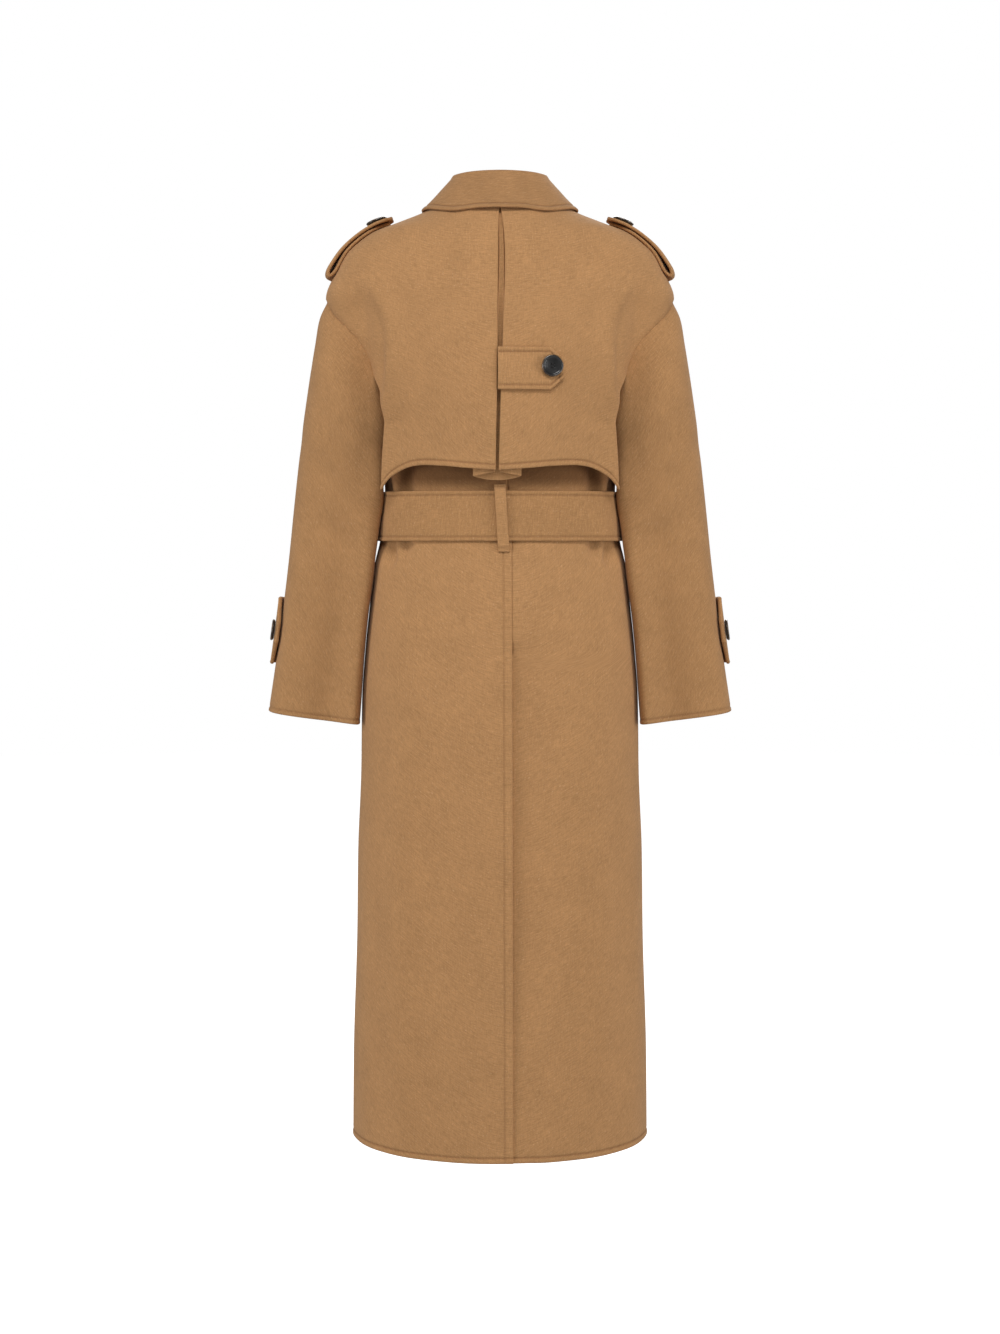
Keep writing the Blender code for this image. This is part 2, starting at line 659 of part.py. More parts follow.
def seat_on(carrier, place, normal):
    """Point and outward normal of a carrier's surface where a flat back touches it."""
    mesh = bpy.data.objects[carrier].data
    tree = BVHTree.FromPolygons([v.co for v in mesh.vertices], [p.vertices for p in mesh.polygons])
    normal = Vector(unit(np.asarray(normal)))
    start = Vector(place) + normal * SEAT_REACH
    _, facing, _, _ = tree.ray_cast(start, -normal)
    facing = facing if facing.dot(normal) > 0 else -facing
    side = facing.orthogonal().normalized()
    other = facing.cross(side)
    start = Vector(place) + facing * SEAT_REACH
    gaps = [tree.ray_cast(start, -facing)[3]]
    for turn in np.linspace(0, 2 * np.pi, 12, endpoint=False):
        spot = start + (side * np.cos(turn) + other * np.sin(turn)) * BUTTON_RADIUS * BUTTON_BACK
        distance = tree.ray_cast(spot, -facing)[3]
        if distance is not None:
            gaps.append(distance)
    return np.array(start - facing * (min(gaps) - SEAM_GAP)), np.array(facing)


def add_button(name, carrier, place, normal, look):
    """Turned button with a rim and a dish, seated on its carrier."""
    place, normal = seat_on(carrier, place, normal)
    side = unit(np.cross(normal, (0.0, 0.0, 1.0) if abs(normal[2]) < 0.9 else (0.0, 1.0, 0.0)))
    other = np.cross(normal, side)
    inside = BUTTON_RADIUS - BUTTON_RIM
    profile = [(BUTTON_RADIUS * BUTTON_BACK, 0.0), (BUTTON_RADIUS, BUTTON_THICK * 0.45),
               (BUTTON_RADIUS - 0.8 * MM, BUTTON_THICK), (inside, BUTTON_THICK),
               (inside - 1.5 * MM, BUTTON_THICK - BUTTON_DISH)]
    turn = np.linspace(0, 2 * np.pi, BUTTON_SIDES, endpoint=False)
    points = [place + r * (np.cos(t) * side + np.sin(t) * other) + h * normal
              for r, h in profile for t in turn]
    n = BUTTON_SIDES
    faces = [tuple(range(n))[::-1], tuple(range(4 * n, 5 * n))]
    for ring in range(len(profile) - 1):
        for k in range(n):
            m = (k + 1) % n
            faces.append((ring * n + k, ring * n + m, ring * n + n + m, ring * n + n + k))
    add_object(name, points, faces, look)


def button_on_form(name, carrier, x, z, front, look):
    angle = angle_at(np.array([x]), np.array([z]), front=front)
    height = np.array([z])
    point = body_form(angle, height)[0]
    normal = form_normals(body_form, angle, height)[0]
    add_button(name, carrier, point, normal, look)


def add_epaulette(side, look):
    """Shoulder tab: lies on the shoulder line, folds at its outer end and runs back below."""
    z_line, stand_line = EPAULETTE_PATH[:, 0], EPAULETTE_PATH[:, 1]
    half_line = np.full(len(z_line), EPAULETTE_HALF_WIDTH)
    half_line[:2] *= EPAULETTE_TIP_ROWS
    half_line[-2:] *= EPAULETTE_TIP_ROWS[::-1]
    across = np.linspace(-1, 1, 6)
    z = np.repeat(z_line[:, None], len(across), axis=1)
    y = half_line[:, None] * across[None, :]
    depth = np.where(y < 0, read_table(BODY, z, 2), read_table(BODY, z, 3))
    angle = np.arcsin(y / depth)
    point = body_form(angle, z)
    normal = form_normals(body_form, angle, z)
    middle = point + normal * (stand_line[:, None, None])
    along = np.gradient(middle, axis=0)
    cross = np.gradient(middle, axis=1)
    out = unit(np.cross(cross, along))
    out = out * np.sign(np.sum(out[0] * normal[0], axis=-1).mean())
    mirror = np.array([side, 1.0, 1.0])
    name = "epaulette_right" if side > 0 else "epaulette_left"
    half = out * EPAULETTE_THICK / 2
    add_wall(name, (middle + half) * mirror, (middle - half) * mirror, look)


def add_epaulette_button(side, look):
    name = "right" if side > 0 else "left"
    z = np.array([EPAULETTE_BUTTON_Z])
    point = body_form(np.zeros(1), z)[0] * np.array([side, 1.0, 1.0])
    slope = np.array([side * 0.35, 0.0, 1.0])
    add_button(f"epaulette_button_{name}", f"epaulette_{name}", point, slope, look)


def add_cuff_tab(side, look):
    turn = np.radians(np.concatenate([np.linspace(CUFF_TAB["front"], CUFF_TAB["shoulder"], 8),
                                      [20.5, CUFF_TAB["tip"]]]))
    half = (CUFF_TAB["end"] - CUFF_TAB["start"]) / 2
    half_line = strap_edge(turn, np.radians(CUFF_TAB["shoulder"]), np.radians(CUFF_TAB["tip"]),
                           half, half * CUFF_TAB["tip_half"])
    across = np.linspace(-1, 1, 4)
    place = (CUFF_TAB["end"] + CUFF_TAB["start"]) / 2 + half_line[:, None] * across[None, :]
    around = np.repeat(turn[:, None], 4, axis=1)
    point = sleeve_oval(place, around)
    normal = sleeve_normal(place, around)
    mirror = np.array([side, 1.0, 1.0])
    thick = CUFF_TAB["thick"]
    lift = CUFF_TAB["stand"] * smooth((turn - turn[0]) / np.radians(30.0))[:, None, None]
    stand = SEAM_GAP + thick + lift
    add_wall("cuff_tab_right" if side > 0 else "cuff_tab_left",
             (point + normal * stand) * mirror, (point + normal * (stand - thick)) * mirror,
             look)


def add_cuff_button(side, look):
    name = "right" if side > 0 else "left"
    place = np.array([(CUFF_TAB["end"] + CUFF_TAB["start"]) / 2])
    around = np.radians(np.array([CUFF_TAB_BUTTON_ANGLE]))
    mirror = np.array([side, 1.0, 1.0])
    add_button(f"cuff_button_{name}", f"cuff_tab_{name}", sleeve_oval(place, around)[0] * mirror,
               sleeve_normal(place, around)[0] * mirror, look)


def form_height(x, y):
    """Height of the shoulder form above a place in plan."""
    high, low = np.full_like(x, 0.004), np.full_like(x, -0.34)
    for _ in range(40):
        z = (high + low) / 2
        depth = np.where(y < 0, read_table(BODY, z, 2), read_table(BODY, z, 3))
        inside = (x / read_table(BODY, z, 1)) ** 2 + (y / depth) ** 2 < 1
        low = np.where(inside, z, low)
        high = np.where(inside, high, z)
    return z


def plan_curve(place, sizes):
    """Plan oval round the neck, from the left front end at -1 by the back to the right at 1."""
    turn = np.radians(sizes["reach"]) * place
    depth = np.where(np.cos(turn) > 0, sizes["back"], sizes["front"])
    return np.stack([sizes["side"] * np.sin(turn), -depth * np.cos(turn)], axis=-1)


def add_collar(look):
    place = np.linspace(-1, 1, 27)
    forward = smooth((np.abs(place) - 0.62) / 0.38)
    seam, fold, edge = (plan_curve(place, s) for s in (COLLAR_SEAM, COLLAR_FOLD, COLLAR_EDGE))
    along = np.gradient(fold, axis=0)
    out = unit(np.stack([along[:, 1], -along[:, 0]], axis=-1))
    seam_z = np.full(len(place), NECK_Z - 0.0011)
    fold_z = COLLAR_FOLD_Z - COLLAR_FOLD_DROP * forward
    lift_line = 2 * LAYER + COLLAR_LIFT + COLLAR_FRONT_LIFT * smooth((np.abs(place) - 0.70) / 0.2)
    on_form = form_height(edge[:, 0], edge[:, 1]) + lift_line
    edge_z = on_form + (COLLAR_BACK_EDGE_Z - on_form) * smooth((0.50 - np.abs(place)) / 0.40)
    radius = COLLAR_FOLD_RADIUS

    def lift(plan, height, shift):
        return np.concatenate([plan + out * shift, height[:, None]], axis=1)

    side_in = lift(fold, fold_z - radius, -radius)
    side_out = lift(fold, fold_z - radius, radius)
    top = lift(fold, fold_z, 0.0)
    base = lift(seam, seam_z, -0.0015)
    end = lift(edge, edge_z, 0.0)
    rows = [base, base * 0.5 + side_in * 0.5, side_in,
            top - np.concatenate([out * radius * 0.6, np.full((len(place), 1), radius * 0.3)], 1),
            top,
            top + np.concatenate([out * radius * 0.6, np.full((len(place), 1), -radius * 0.3)], 1),
            side_out]
    sag = np.zeros_like(end)
    sag[:, :2] = -out * COLLAR_HOLLOW
    rows += [side_out * 0.66 + end * 0.34 + sag * 0.5, side_out * 0.33 + end * 0.67 + sag, end]
    middle = np.stack(rows)
    normal = unit(np.cross(np.gradient(middle, axis=1), np.gradient(middle, axis=0)))
    add_wall("collar", middle + normal * CLOTH / 2, middle - normal * CLOTH / 2, look)


def belt_surface(angle, z):
    """Surface round the waist under the belt, straight from its top to its bottom edge."""
    middle = np.full_like(z, (BELT_BOTTOM_Z + BELT_TOP_Z) / 2)
    waist = base_form(angle, middle)
    edges = []
    for level in (BELT_BOTTOM_Z, BELT_TOP_Z):
        own = base_form(angle, np.full_like(z, level))
        edges.append(np.maximum(np.abs(waist), np.abs(own)) * np.sign(own))
    up = ((z - BELT_BOTTOM_Z) / (BELT_TOP_Z - BELT_BOTTOM_Z))[..., None]
    point = edges[0] * (1 - up) + edges[1] * up
    point[..., 2] = z
    normal = form_normals(base_form, angle, middle) * np.array([1.0, 1.0, 0.0])
    return point, unit(normal)


def add_belt(look):
    """Belt once round the waist, its end laid over its start past the buckle."""
    turn = np.radians(np.linspace(BELT_START, BELT_START + 360.0 + BELT_OVERLAP, 66))
    rise = smooth((turn - np.radians(BELT_START + 330.0)) / np.radians(26.0))
    z = np.stack([np.full(len(turn), BELT_BOTTOM_Z), np.full(len(turn), BELT_TOP_Z)])
    point, normal = belt_surface(np.broadcast_to(turn, z.shape), z)
    stand = (BELT_STAND + CLOTH + LAYER * rise)[None, :, None]
    add_wall("belt", point + normal * stand, point + normal * (stand - CLOTH), look)


def add_buckle(look):
    """Rounded frame lying over the belt at the centre front, curved like the belt."""
    middle = (BELT_BOTTOM_Z + BELT_TOP_Z) / 2
    turn = np.linspace(0, 2 * np.pi, 28, endpoint=False)
    x = np.sign(np.cos(turn)) * np.abs(np.cos(turn)) ** BUCKLE["roundness"]
    z = np.sign(np.sin(turn)) * np.abs(np.sin(turn)) ** BUCKLE["roundness"]
    stand = BELT_STAND + CLOTH + LAYER + LAYER_GAP
    rings = []
    for inset, depth in ((0.0, 0.0), (0.0, BUCKLE["thick"]), (BUCKLE["bar"], BUCKLE["thick"]),
                         (BUCKLE["bar"], 0.0)):
        ring_x = (BUCKLE["half_width"] - inset) * x
        ring_z = (BUCKLE["half_height"] - inset) * z
        level = np.clip(ring_z + middle, BELT_BOTTOM_Z, BELT_TOP_Z)
        point, normal = belt_surface(angle_at(ring_x, level, front=True), level)
        point = point + normal * (stand + depth)
        point[:, 2] = ring_z + middle
        rings.append(point)
    n = len(turn)
    faces = []
    for ring in range(4):
        following = (ring + 1) % 4
        for k in range(n):
            m = (k + 1) % n
            faces.append((ring * n + k, ring * n + m, following * n + m, following * n + k))
    add_object("buckle", np.concatenate(rings), faces, look)


def add_belt_loop(look):
    """Loop at the centre back, over the belt and sewn to the body above and below it."""
    waist, _ = belt_surface(np.full(2, -np.pi / 2), np.array([BELT_TOP_Z, BELT_BOTTOM_Z]))
    reach = waist[:, 1].min() - BELT_STAND - 2 * CLOTH - LAYER_GAP
    heights = np.array([LOOP_TOP_Z + 0.004, LOOP_TOP_Z, LOOP_TOP_Z - 0.001, BELT_TOP_Z - 0.02,
                        BELT_BOTTOM_Z + 0.02, LOOP_BOTTOM_Z + 0.001, LOOP_BOTTOM_Z,
                        LOOP_BOTTOM_Z - 0.004])
    body = body_form(np.full(8, -np.pi / 2), heights)[:, 1] - LAYER_GAP - CLOTH
    outer_y = np.array([body[0], body[1] - 0.002, reach, reach, reach, reach, body[6] - 0.002,
                        body[7]])
    inset = np.array([0, CLOTH * 0.5, CLOTH, 0, 0, CLOTH, CLOTH * 0.5, 0])
    sign = np.sign(heights - (BELT_TOP_Z + BELT_BOTTOM_Z) / 2)
    x = LOOP_X + np.array([-LOOP_WIDTH / 2, LOOP_WIDTH / 2])
    lean = (heights - heights.mean()) * -0.06
    outer = np.stack([np.stack([x[k] + lean, outer_y, heights], -1) for k in (0, 1)], axis=1)
    inner = outer.copy()
    inner[..., 1] += CLOTH
    inner[..., 2] -= (inset * sign)[:, None] * 0.4
    add_wall("belt_loop", outer, inner, look)


def build():
    for old in list(bpy.data.objects):
        bpy.data.objects.remove(old)
    for side in (-1, 1):
        add_back(side, WOOL)
        add_front(side, WOOL)
        add_lapel(side, WOOL)
        add_sleeve(side, WOOL)
        add_flap(side, WOOL)
        add_epaulette(side, WOOL)
        add_epaulette_button(side, HORN)
        add_cuff_tab(side, WOOL)
        add_cuff_button(side, HORN)
    add_pleat(WOOL)
    add_tab(WOOL)
    button_on_form("flap_tab_button", "flap_tab", *TAB_BUTTON, False, HORN)
    add_collar(WOOL)
    for row, z in enumerate(FRONT_BUTTON_ROWS, 1):
        button_on_form(f"front_button_right_{row}", "front_right", FRONT_BUTTON_X, z, True, HORN)
        button_on_form(f"front_button_left_{row}", "front_right", -FRONT_BUTTON_X, z, True, HORN)
    add_belt(BELT_WOOL)
    add_buckle(HORN)
    add_belt_loop(WOOL)


build()
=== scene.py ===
import bmesh
import bpy
import numpy as np
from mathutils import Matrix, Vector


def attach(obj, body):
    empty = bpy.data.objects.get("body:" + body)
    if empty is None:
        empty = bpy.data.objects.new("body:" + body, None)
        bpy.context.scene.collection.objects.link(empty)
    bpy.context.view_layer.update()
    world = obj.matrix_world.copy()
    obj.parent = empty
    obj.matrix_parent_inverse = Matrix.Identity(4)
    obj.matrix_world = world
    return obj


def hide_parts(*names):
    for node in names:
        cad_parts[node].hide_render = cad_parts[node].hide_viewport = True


# Belted wool coat, worn-shaped and empty: back towards -Y, neck at the origin, metres.
# A section of the coat is an oval; its angle is 0 at the right side and -90 degrees at the back.
# A pair (a, b) in the values below is a change that is eased over b, up to or from the place a.
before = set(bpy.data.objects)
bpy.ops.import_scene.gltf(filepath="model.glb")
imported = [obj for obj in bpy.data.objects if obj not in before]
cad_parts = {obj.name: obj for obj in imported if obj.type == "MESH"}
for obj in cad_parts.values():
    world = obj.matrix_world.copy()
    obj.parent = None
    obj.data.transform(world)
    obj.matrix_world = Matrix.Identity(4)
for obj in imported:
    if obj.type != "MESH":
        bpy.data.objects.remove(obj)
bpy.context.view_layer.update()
mm = 0.001
stitchRuns = []  # points and normals of every sewn line, filled by the cloth pieces
threadBars = []  # path and radius of every thread through a button

cloth = dict(
    thick=2.5 * mm,
    layer=3.1 * mm,       # cloth and a little air
    fine=1.25 * mm,       # grid step beside a sewn edge
    coarse=6.0 * mm,      # grid step elsewhere
    strapStep=2.5 * mm,   # grid step across straps and collar, and beside the vent
    fineReach=9.0 * mm,
    firstStep=2.1 * mm,
    edgeSteps=5,          # strips round a cut edge
    joinSink=0.3 * mm,    # how far the outside dips at a seam with the next piece
    joinSoft=1.8 * mm,
    joinRound=0.15,
    grooveDepth=0.80 * mm,
    grooveHalf=1.25 * mm,
    groovePaintedShade=0.5,    # painted shade in a stitch groove: how much darker the wool is painted there, 0 to 1
    bandRise=0.45 * mm,
    bandSoft=1.6 * mm,
)

coat = dict(
    # height, half width, back depth, front depth, squareness
    sections=np.array([
        (0.004, 0.0690, 0.0620, 0.0560, 0.00), (-0.008, 0.0725, 0.0700, 0.0610, 0.00),
        (-0.0215, 0.0950, 0.0820, 0.0720, 0.00), (-0.0350, 0.1290, 0.0915, 0.0860, 0.00),
        (-0.0465, 0.1590, 0.0985, 0.0945, 0.02), (-0.0585, 0.1768, 0.1035, 0.1005, 0.04),
        (-0.074, 0.1920, 0.1080, 0.1060, 0.06), (-0.092, 0.2012, 0.1120, 0.1120, 0.08),
        (-0.1256, 0.2150, 0.1170, 0.1200, 0.10), (-0.150, 0.2110, 0.1190, 0.1240, 0.10),
        (-0.180, 0.2030, 0.1200, 0.1270, 0.12), (-0.217, 0.1880, 0.1200, 0.1280, 0.14),
        (-0.254, 0.1660, 0.1180, 0.1270, 0.16), (-0.285, 0.1500, 0.1150, 0.1250, 0.17),
        (-0.330, 0.1480, 0.1100, 0.1190, 0.17), (-0.365, 0.1465, 0.1080, 0.1150, 0.16),
        (-0.397, 0.1475, 0.1080, 0.1140, 0.15), (-0.430, 0.1520, 0.1110, 0.1160, 0.15),
        (-0.459, 0.1586, 0.1160, 0.1190, 0.15), (-0.503, 0.1638, 0.1220, 0.1220, 0.15),
        (-0.567, 0.1710, 0.1280, 0.1250, 0.15), (-0.630, 0.1757, 0.1310, 0.1270, 0.14),
        (-0.720, 0.1772, 0.1340, 0.1290, 0.13), (-0.822, 0.1814, 0.1360, 0.1310, 0.12),
        (-0.925, 0.1830, 0.1390, 0.1330, 0.10), (-1.080, 0.1873, 0.1420, 0.1350, 0.07),
        (-1.200, 0.1878, 0.1440, 0.1370, 0.04),
    ]),
    # armhole: height, angle on the back, angle on the front
    armhole=np.array([
        (-0.1256, 0.0, 0.0), (-0.1300, 6.5, 7.0), (-0.1380, 12.5, 13.0), (-0.1500, 19.0, 20.0),
        (-0.1700, 28.0, 29.0), (-0.1950, 33.0, 34.0), (-0.2250, 34.0, 35.0),
        (-0.2500, 31.5, 32.0), (-0.2680, 25.5, 26.0), (-0.2800, 15.0, 16.0),
        (-0.2850, 0.0, 0.0),
    ]),
    # folds: x and z of both ends, half width, depth, side (-1 back, 1 front), shared by the flap
    folds=np.array([
        (0.1780, -0.095, 0.1560, -0.300, 0.017, 0.010, -1, 1),
        (0.1170, -0.290, 0.1180, -0.470, 0.009, 0.009, -1, 0),
        (0.1400, -0.330, 0.1390, -0.480, 0.007, 0.006, -1, 0),
        (0.1385, -0.418, 0.1320, -0.462, 0.005, 0.005, -1, 0),
        (0.1100, -0.300, 0.1120, -0.470, 0.010, 0.007, 1, 0),
        (0.0950, -0.470, 0.1200, -1.250, 0.045, -0.003, -1, 0),
        (0.1500, -0.500, 0.1520, -1.250, 0.022, 0.004, -1, 0),
        (0.1150, -0.500, 0.1300, -1.250, 0.030, 0.004, 1, 0),
    ]),
    # soft waves of the hanging cloth: depth, waves round, slant, waves down, start
    waves=np.array([
        (0.00055, 5.0, 1.3, 4.0, 0.4), (0.00040, 9.0, -2.1, 7.0, 1.9),
        (0.00030, 14.0, 3.4, 13.0, 3.1),
    ]),
    waveTop=(-0.05, 0.1),
    foldEnds=0.25,
    foldSide=0.03,
    neckZ=0.0,
    shoulderRows=(-0.002, -0.010, -0.018, -0.028, -0.040, -0.054, -0.070, -0.088, -0.107),
    shoulderStep=3.5 * mm,
    shoulderRange=(0.004, -0.34),
    plainRows=(-0.305, -0.540),   # coarse rows between these, close ones from there to ventLowZ
    ventLowZ=-0.610,
    shoulderEndZ=-0.1256,
    underarmZ=-0.285,
    hemZ=-1.190,
    hemSideRise=0.004,
    hemRiseReach=0.08,
)


def ease(t):  # 3 t^2 - 2 t^3, from 0 to 1
    t = np.clip(t, 0.0, 1.0)
    return t * t * (3.0 - 2.0 * t)


def below(value, change):  # 1 below change[0] - change[1], 0 above change[0]
    return ease((change[0] - value) / change[1])


def above(value, change):  # 0 below change[0], 1 above change[0] + change[1]
    return ease((value - change[0]) / change[1])


def wideRows(column, count):  # a column of values repeated side by side
    return np.repeat(column[:, None], count, axis=1)


def closedColumns(values):  # a grid whose first column comes again as its last
    return np.concatenate([values, values[:, :1]], axis=1)


def gridCorners(values):  # the four corners of every cell of a grid
    corners = [values[:-1, :-1], values[:-1, 1:], values[1:, 1:], values[1:, :-1]]
    return np.stack(corners, axis=2).reshape(-1, 4, *values.shape[2:])


def fullTurn(count):  # angles once round, evenly spaced
    return np.linspace(0, 2 * np.pi, count, endpoint=False)


def runningSum(steps):  # 0, then the sums of the steps so far
    return np.concatenate([[0], np.cumsum(steps)])


def unitRows(vectors):  # v / |v|
    return vectors / np.maximum(np.linalg.norm(vectors, axis=-1, keepdims=True), 1e-12)


def readTable(table, place, column=1):  # cubic through a table's rows, with no overshoot
    table = table if table[0, 0] < table[-1, 0] else table[::-1]
    x, y = table[:, 0], table[:, column]
    step = np.diff(x)
    rise = np.diff(y) / step
    slope = np.zeros_like(y)
    before, after = 2 * step[1:] + step[:-1], step[1:] + 2 * step[:-1]
    with np.errstate(divide="ignore", invalid="ignore"):
        mean = (before + after) / (before / rise[:-1] + after / rise[1:])
    slope[1:-1] = np.where(rise[1:] * rise[:-1] > 0, mean, 0.0)
    slope[0], slope[-1] = rise[0], rise[-1]
    place = np.clip(place, x[0], x[-1])
    i = np.clip(np.searchsorted(x, place, side="right") - 1, 0, len(x) - 2)
    t = (place - x[i]) / step[i]
    return ((1 + 2 * t) * (1 - t) ** 2 * y[i] + t * (1 - t) ** 2 * step[i] * slope[i]
            + t * t * (3 - 2 * t) * y[i + 1] + t * t * (t - 1) * step[i] * slope[i + 1])


def spread(length, fineStart=True, fineEnd=True, coarse=cloth["coarse"]):
    # places 0 to 1 whose spacing is h(s) = min(coarse, fine + 0.3 (s - fineReach)) from a sewn edge
    s = np.linspace(0, length, 3000)
    h = np.full_like(s, coarse)
    for near, wanted in ((s, fineStart), (length - s, fineEnd)):
        if wanted:
            grown = cloth["fine"] + 0.3 * np.maximum(0, near - cloth["fineReach"])
            h = np.minimum(h, grown)
    count = runningSum((0.5 / h[1:] + 0.5 / h[:-1]) * s[1])
    at = np.interp(np.linspace(0, count[-1], int(np.ceil(count[-1])) + 1), count, s)
    keep = (at >= cloth["firstStep"]) & (at <= length - cloth["firstStep"])
    return np.concatenate([[0.0], at[keep] / length, [1.0]])


def between(knots, coarse, lengths=None):  # the knots with even steps of at most coarse between them
    lengths = np.abs(np.diff(knots)) if lengths is None else lengths
    parts = [np.linspace(a, b, max(1, int(np.ceil(n / coarse))), endpoint=False)
             for a, b, n in zip(knots[:-1], knots[1:], lengths)]
    return np.concatenate(parts + [[knots[-1]]])


def throughRows(rows, count):  # cubic through rows of points: c(t) by central slopes
    rows = np.asarray(rows)
    t = np.linspace(0, len(rows) - 1, count)
    i = np.minimum(t.astype(int), len(rows) - 2)
    f = (t - i).reshape((-1,) + (1,) * (rows.ndim - 1))
    slope = np.gradient(rows, axis=0)
    return ((1 + 2 * f) * (1 - f) ** 2 * rows[i] + f * (1 - f) ** 2 * slope[i]
            + f * f * (3 - 2 * f) * rows[i + 1] + f * f * (f - 1) * slope[i + 1])


def section(z, column):  # 1 half width, 2 depth behind, 3 depth ahead, 4 squareness
    return readTable(coat["sections"], z, column)


def sectionDepth(y, z):
    return np.where(y < 0, section(z, 2), section(z, 3))


def plainForm(angle, z):  # x = a cos (1 + q sin^2), y = b sin (1 + q cos^2)
    half, square = section(z, 1), section(z, 4)
    cosine, sine = np.cos(angle), np.sin(angle)
    depth = sectionDepth(sine, z)
    return np.stack([half * cosine * (1 + square * sine ** 2),
                     depth * sine * (1 + square * cosine ** 2), z + 0 * angle], axis=-1)


def formNormals(form, angle, z):  # dP/dangle x dP/dz
    along = form(angle + 1e-3, z) - form(angle - 1e-3, z)
    up = form(angle, z + 1e-4) - form(angle, z - 1e-4)
    return unitRows(np.cross(along, up))


def foldDepth(folds, x, y, z):  # sum of depth * exp(-((|x| - centre) / half)^2), eased at the ends
    total = np.zeros_like(x)
    for xTop, zTop, xLow, zLow, half, depth, side, _ in folds:
        along = (zTop - z) / (zTop - zLow)
        centre = xTop + (xLow - xTop) * np.clip(along, 0, 1)
        ends = ease(along / coat["foldEnds"]) * ease((1 - along) / coat["foldEnds"])
        bell = depth * np.exp(-((np.abs(x) - centre) / half) ** 2)
        total += bell * ends * ease(0.5 + side * y / coat["foldSide"])
    return total


def waveDepth(angle, z):  # sum of depth * sin(waves * angle + slant * z + start) * sin(down * z)
    total = 0.0
    for depth, around, slant, down, start in coat["waves"]:
        total = total + depth * np.sin(around * angle + slant * z + start) * np.cos(down * z + start)
    return total * below(z, coat["waveTop"])


def foldedForm(folds, angle, z):  # P - n (folds + waves)
    point = plainForm(angle, z)
    depth = foldDepth(folds, point[..., 0], point[..., 1], z) + waveDepth(angle, z)
    return point - formNormals(plainForm, angle, z) * depth[..., None]


def coatForm(angle, z):
    return foldedForm(coat["folds"], angle, z)


def flapForm(angle, z):
    return foldedForm(coat["folds"][coat["folds"][:, 7] > 0], angle, z)


def angleAt(x, z, ahead=False):  # angle where the section has this x, by Newton's steps
    half, square = section(z, 1), section(z, 4)
    goal = np.clip(x / half, -0.999, 0.999)
    cosine = goal
    for _ in range(12):
        value = cosine * (1 + square * (1 - cosine ** 2)) - goal
        cosine = np.clip(cosine - value / (1 + square * (1 - 3 * cosine ** 2)), -1, 1)
    return np.arccos(cosine) * (1 if ahead else -1)


def armholeAngle(z, ahead=False):  # outer edge of a panel: shoulder seam, armhole, side seam
    place = np.clip(z, coat["underarmZ"], coat["shoulderEndZ"])
    value = np.radians(readTable(coat["armhole"], place, 2 if ahead else 1))
    return value if ahead else -value


def gridNormals(grid, ring=False):  # dP/dcolumn x dP/drow
    along = np.roll(grid, -1, 1) - np.roll(grid, 1, 1) if ring else np.gradient(grid, axis=1)
    return unitRows(np.cross(along, np.gradient(grid, axis=0)))


def edgeDistances(grid):  # lengths summed along rows and columns, from each edge
    across = np.linalg.norm(np.diff(grid, axis=1), axis=-1)
    down = np.linalg.norm(np.diff(grid, axis=0), axis=-1)
    fromStart = np.concatenate([np.zeros((len(grid), 1)), np.cumsum(across, axis=1)], axis=1)
    fromTop = np.concatenate([np.zeros((1, grid.shape[1])), np.cumsum(down, axis=0)])
    return dict(start=fromStart, end=fromStart[:, -1:] - fromStart, top=fromTop,
                bottom=fromTop[-1:] - fromTop)


def sewnLine(grid, normal, distance, edge, ring):  # points where distance = edge["at"]
    if edge["side"] in ("top", "bottom"):
        grid, normal, distance = (np.swapaxes(v, 0, 1) for v in (grid, normal, distance))
    if edge["side"] in ("end", "bottom"):
        grid, normal, distance = (v[:, ::-1] for v in (grid, normal, distance))
    row = np.arange(len(grid))
    i = np.clip(np.sum(distance < edge["at"], axis=1), 1, distance.shape[1] - 1)
    low, high = distance[row, i - 1], distance[row, i]
    f = ((edge["at"] - low) / np.maximum(high - low, 1e-9))[:, None]
    points = grid[row, i - 1] * (1 - f) + grid[row, i] * f
    normals = unitRows(normal[row, i - 1] * (1 - f) + normal[row, i] * f)
    if ring:
        points, normals = np.concatenate([points, points[:1]]), np.concatenate([normals, normals[:1]])
    return points, normals


def sewnAt(*sides, **how):  # the same sewn line along several sides of a piece
    return [dict(side=side, **how) for side in sides]


def addSewing(height, paintedShade, grid, normal, distances, sewn, ring):
    # a line is a groove exp(-(d / half)^2) with a raised band between it and its edge, and painted
    # shade along the groove
    for edge in sewn:
        distance = distances[edge["side"]]
        strength = edge.get("mask", 1.0) * edge.get("strength", 1.0)
        groove = np.exp(-((distance - edge["at"]) / cloth["grooveHalf"]) ** 2)
        band = ease((edge["at"] - distance) / cloth["bandSoft"])
        height += strength * (cloth["bandRise"] * band - cloth["grooveDepth"] * groove)
        np.maximum(paintedShade, cloth["groovePaintedShade"] * strength * groove, out=paintedShade)
        points, normals = sewnLine(grid, normal, distance, edge, ring)
        if "mask" in edge:
            mask = edge["mask"][:, 0] if edge["side"] in ("start", "end") else edge["mask"][0]
            points, normals = points[mask > 0.5], normals[mask > 0.5]
        stitchRuns.append((points, normals))


